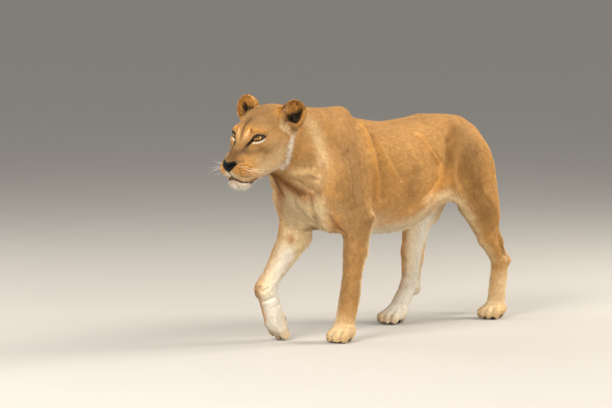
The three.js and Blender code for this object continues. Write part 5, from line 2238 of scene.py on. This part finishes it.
@dataclass
class Whiskers:
    """The white whiskers of both sides, in one piece.

    Args:
        finish: their material.
        thickness: half a whisker's width at its root, in millimetres.
        tip: half its width at its tip.
        steps: how many stretches a whisker has.
        ring: how many corners go round it.
        root_depth: how deep it starts in its pad.
        missing: the share of the roots that has no long whisker.
    """

    finish: bpy.types.Material
    thickness: float = 0.26
    tip: float = 0.06
    steps: int = 7
    ring: int = 4
    root_depth: float = 4.0
    missing: float = 0.4

    def strand(self, root: Rows, way: Rows, length: float, droop: float) -> tuple[Rows, Rows]:
        """One tapering whisker.

        Args:
            root: its root, in the head's frame.
            way: the direction that it leaves in.
            length: its length.
            droop: how far its tip hangs and sweeps back, as a share of its length.

        Returns:
            Its corners and triangles.
        """
        side = unit(np.cross(way, [0, 0, 1.0]))
        top = np.cross(side, way)
        rows = []
        for i in range(self.steps + 1):
            s = i / self.steps
            middle = root + way * length * s + np.array([0, 0.55, -0.8]) * droop * length * s * s
            thick = self.thickness * (1 - s) ** 0.7 + self.tip
            for k in range(self.ring):
                a = 2 * math.pi * k / self.ring
                rows.append(middle + (side * math.cos(a) + top * math.sin(a)) * thick)
        faces = [(2, 1, 0), (3, 2, 0)]
        for i in range(self.steps):
            for k in range(self.ring):
                a, b = i * self.ring + k, i * self.ring + (k + 1) % self.ring
                faces += [(a, b, b + self.ring), (a, b + self.ring, a + self.ring)]
        last = self.steps * self.ring
        faces += [(last, last + 1, last + 2), (last, last + 2, last + 3)]
        return np.array(rows), np.array(faces)

    def build(self) -> None:
        """Builds the piece: each whisker starts under the skin of its pad."""
        rng = np.random.default_rng(SEED + 40)
        corners, faces, total = [], [], 0
        for root in whisker_roots():
            for side in (1, -1):
                if rng.uniform() < self.missing:
                    continue
                back = (root[1] + 124) / 40
                spread, drop = rng.normal() * 0.06, rng.normal() * 0.1
                way = unit(np.array([0.92, -0.28 + 0.75 * back + spread, -0.16 + drop]))
                length = 46 + 38 * back + rng.normal() * 8
                start = root - np.array([self.root_depth, 0, 0])
                rows, triangles = self.strand(start, way, length, 0.16 + 0.05 * rng.normal())
                rows[:, 0] *= side
                corners.append(HEAD.out(rows))
                faces.append((triangles if side > 0 else triangles[:, ::-1]) + total)
                total += len(rows)
        piece = mesh_piece("whiskers", np.concatenate(corners), np.concatenate(faces))
        make_active(piece)
        bpy.ops.object.shade_smooth()
        piece.data.materials.append(self.finish)
        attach(piece, "root")
        LOG.info("%s: %d triangles", piece.name, len(piece.data.polygons))


# ---------------------------------------------------------------- floor, light and camera


@dataclass(frozen=True)
class Lamp:
    """One soft square lamp that faces her.

    Args:
        name: its name.
        azimuth: where it stands round her, in degrees from straight ahead towards her left.
        elevation: how high it stands, in degrees.
        size: its width, in metres.
        power: its power, in watts.
        tint: the colour of its light.
    """

    name: str
    azimuth: float
    elevation: float
    size: float
    power: float
    tint: Point


LAMPS: tuple[Lamp, ...] = (
    Lamp("key", 10, 40, 2.2, 260, (1.0, 0.96, 0.91)),
    Lamp("fill", 62, 6, 4.0, 165, (1.0, 0.98, 0.95)),
    Lamp("rim", 150, 30, 1.8, 270, (1.0, 0.95, 0.86)),
    Lamp("far", -70, 28, 3.0, 110, (1.0, 0.98, 0.96)),
)


@dataclass
class Studio:
    """A pale floor, soft light and the camera.

    Args:
        target: the place that the lamps and the camera face, in metres.
        azimuth: where the camera stands round her, in degrees from straight ahead towards her left.
        elevation: how high it stands over the target, in degrees.
        distance: how far it is from the target, in metres.
        lens: its focal length, in millimetres.
        lamp_distance: how far the lamps are from the target, in metres.
        floor_size: the floor's width, in metres.
        sky: the strength of the light from all round.
    """

    target: Point = (-0.0013, -0.3685, 0.5327)
    azimuth: float = 42.41
    elevation: float = 5.40
    distance: float = 11.736
    lens: float = 179.8
    lamp_distance: float = 5.0
    floor_size: float = 400.0
    sky: float = 0.42

    def away(self, azimuth: float, elevation: float, distance: float) -> Vector:
        """Finds a place round the target.

        Args:
            azimuth: its angle round the target, in degrees.
            elevation: its angle over the target, in degrees.
            distance: how far off it is, in metres.

        Returns:
            The place.
        """
        a, e = math.radians(azimuth), math.radians(elevation)
        back = Vector((math.sin(a) * math.cos(e), -math.cos(a) * math.cos(e), math.sin(e)))
        return Vector(self.target) + back * distance

    def faced(self, thing: bpy.types.Object) -> None:
        """Turns a lamp or the camera to the target."""
        thing.rotation_euler = (thing.location - Vector(self.target)).to_track_quat("Z", "Y").to_euler()

    def light(self, lamp: Lamp) -> None:
        """Adds a soft lamp.

        Args:
            lamp: the lamp.
        """
        deselect()
        place = self.away(lamp.azimuth, lamp.elevation, self.lamp_distance)
        bpy.ops.object.light_add(type="AREA", location=place)
        made = bpy.context.active_object
        made.name = lamp.name
        self.faced(made)
        made.data.size = lamp.size
        made.data.energy = lamp.power
        made.data.color = lamp.tint

    def build(self) -> None:
        """Sets the floor, the lamps, the sky and the camera."""
        deselect()
        bpy.ops.mesh.primitive_plane_add(size=self.floor_size, location=(0, 0, 0))
        floor = bpy.context.active_object
        floor.name = "floor"
        finish = PlainFinish("floor", (0.72, 0.70, 0.67), 0.8, mottle=0.02, scale=3.0)
        floor.data.materials.append(finish.material())
        for lamp in LAMPS:
            self.light(lamp)
        world = bpy.context.scene.world or bpy.data.worlds.new("sky")
        bpy.context.scene.world = world
        world.use_nodes = True
        background = world.node_tree.nodes["Background"]
        background.inputs["Color"].default_value = (1.0, 0.99, 0.97, 1)
        background.inputs["Strength"].default_value = self.sky
        bpy.context.scene.view_settings.view_transform = "Standard"
        data = bpy.data.cameras.new("camera")
        data.lens = self.lens
        data.sensor_width = 36
        data.clip_end = 200
        camera = bpy.data.objects.new("camera", data)
        bpy.context.scene.collection.objects.link(camera)
        camera.location = self.away(self.azimuth, self.elevation, self.distance)
        self.faced(camera)
        bpy.context.scene.camera = camera


# how far each eye looks to her left and up, in degrees
GAZES: dict[int, tuple[float, float]] = {1: (25.0, 3.0), -1: (8.0, 3.0)}


def main() -> None:
    """Builds the lioness."""
    logging.basicConfig(level=logging.INFO, format="%(name)s: %(message)s")
    for thing in list(bpy.data.objects):
        bpy.data.objects.remove(thing)
    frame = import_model()
    deselect()
    Studio().build()
    coat = CoatFinish().material()
    markings, plan, lids = Markings(), CoatPlan(), Lids()
    skin = Skin(frame, markings, plan, lids, coat)
    skin.build()
    iris = IrisFinish().material()
    dark = PlainFinish("lid_edge", (0.03, 0.025, 0.02), 0.5, coat=0.05).material()
    for side, gaze in GAZES.items():
        eye = Eye(side, gaze, lids, iris, dark)
        eye.ball()
        eye.rim()
    Coat(skin, markings).build()
    Whiskers(PlainFinish("whisker", (0.93, 0.91, 0.86), 0.4, mottle=0.04).material()).build()


if __name__ == "__main__":
    main()
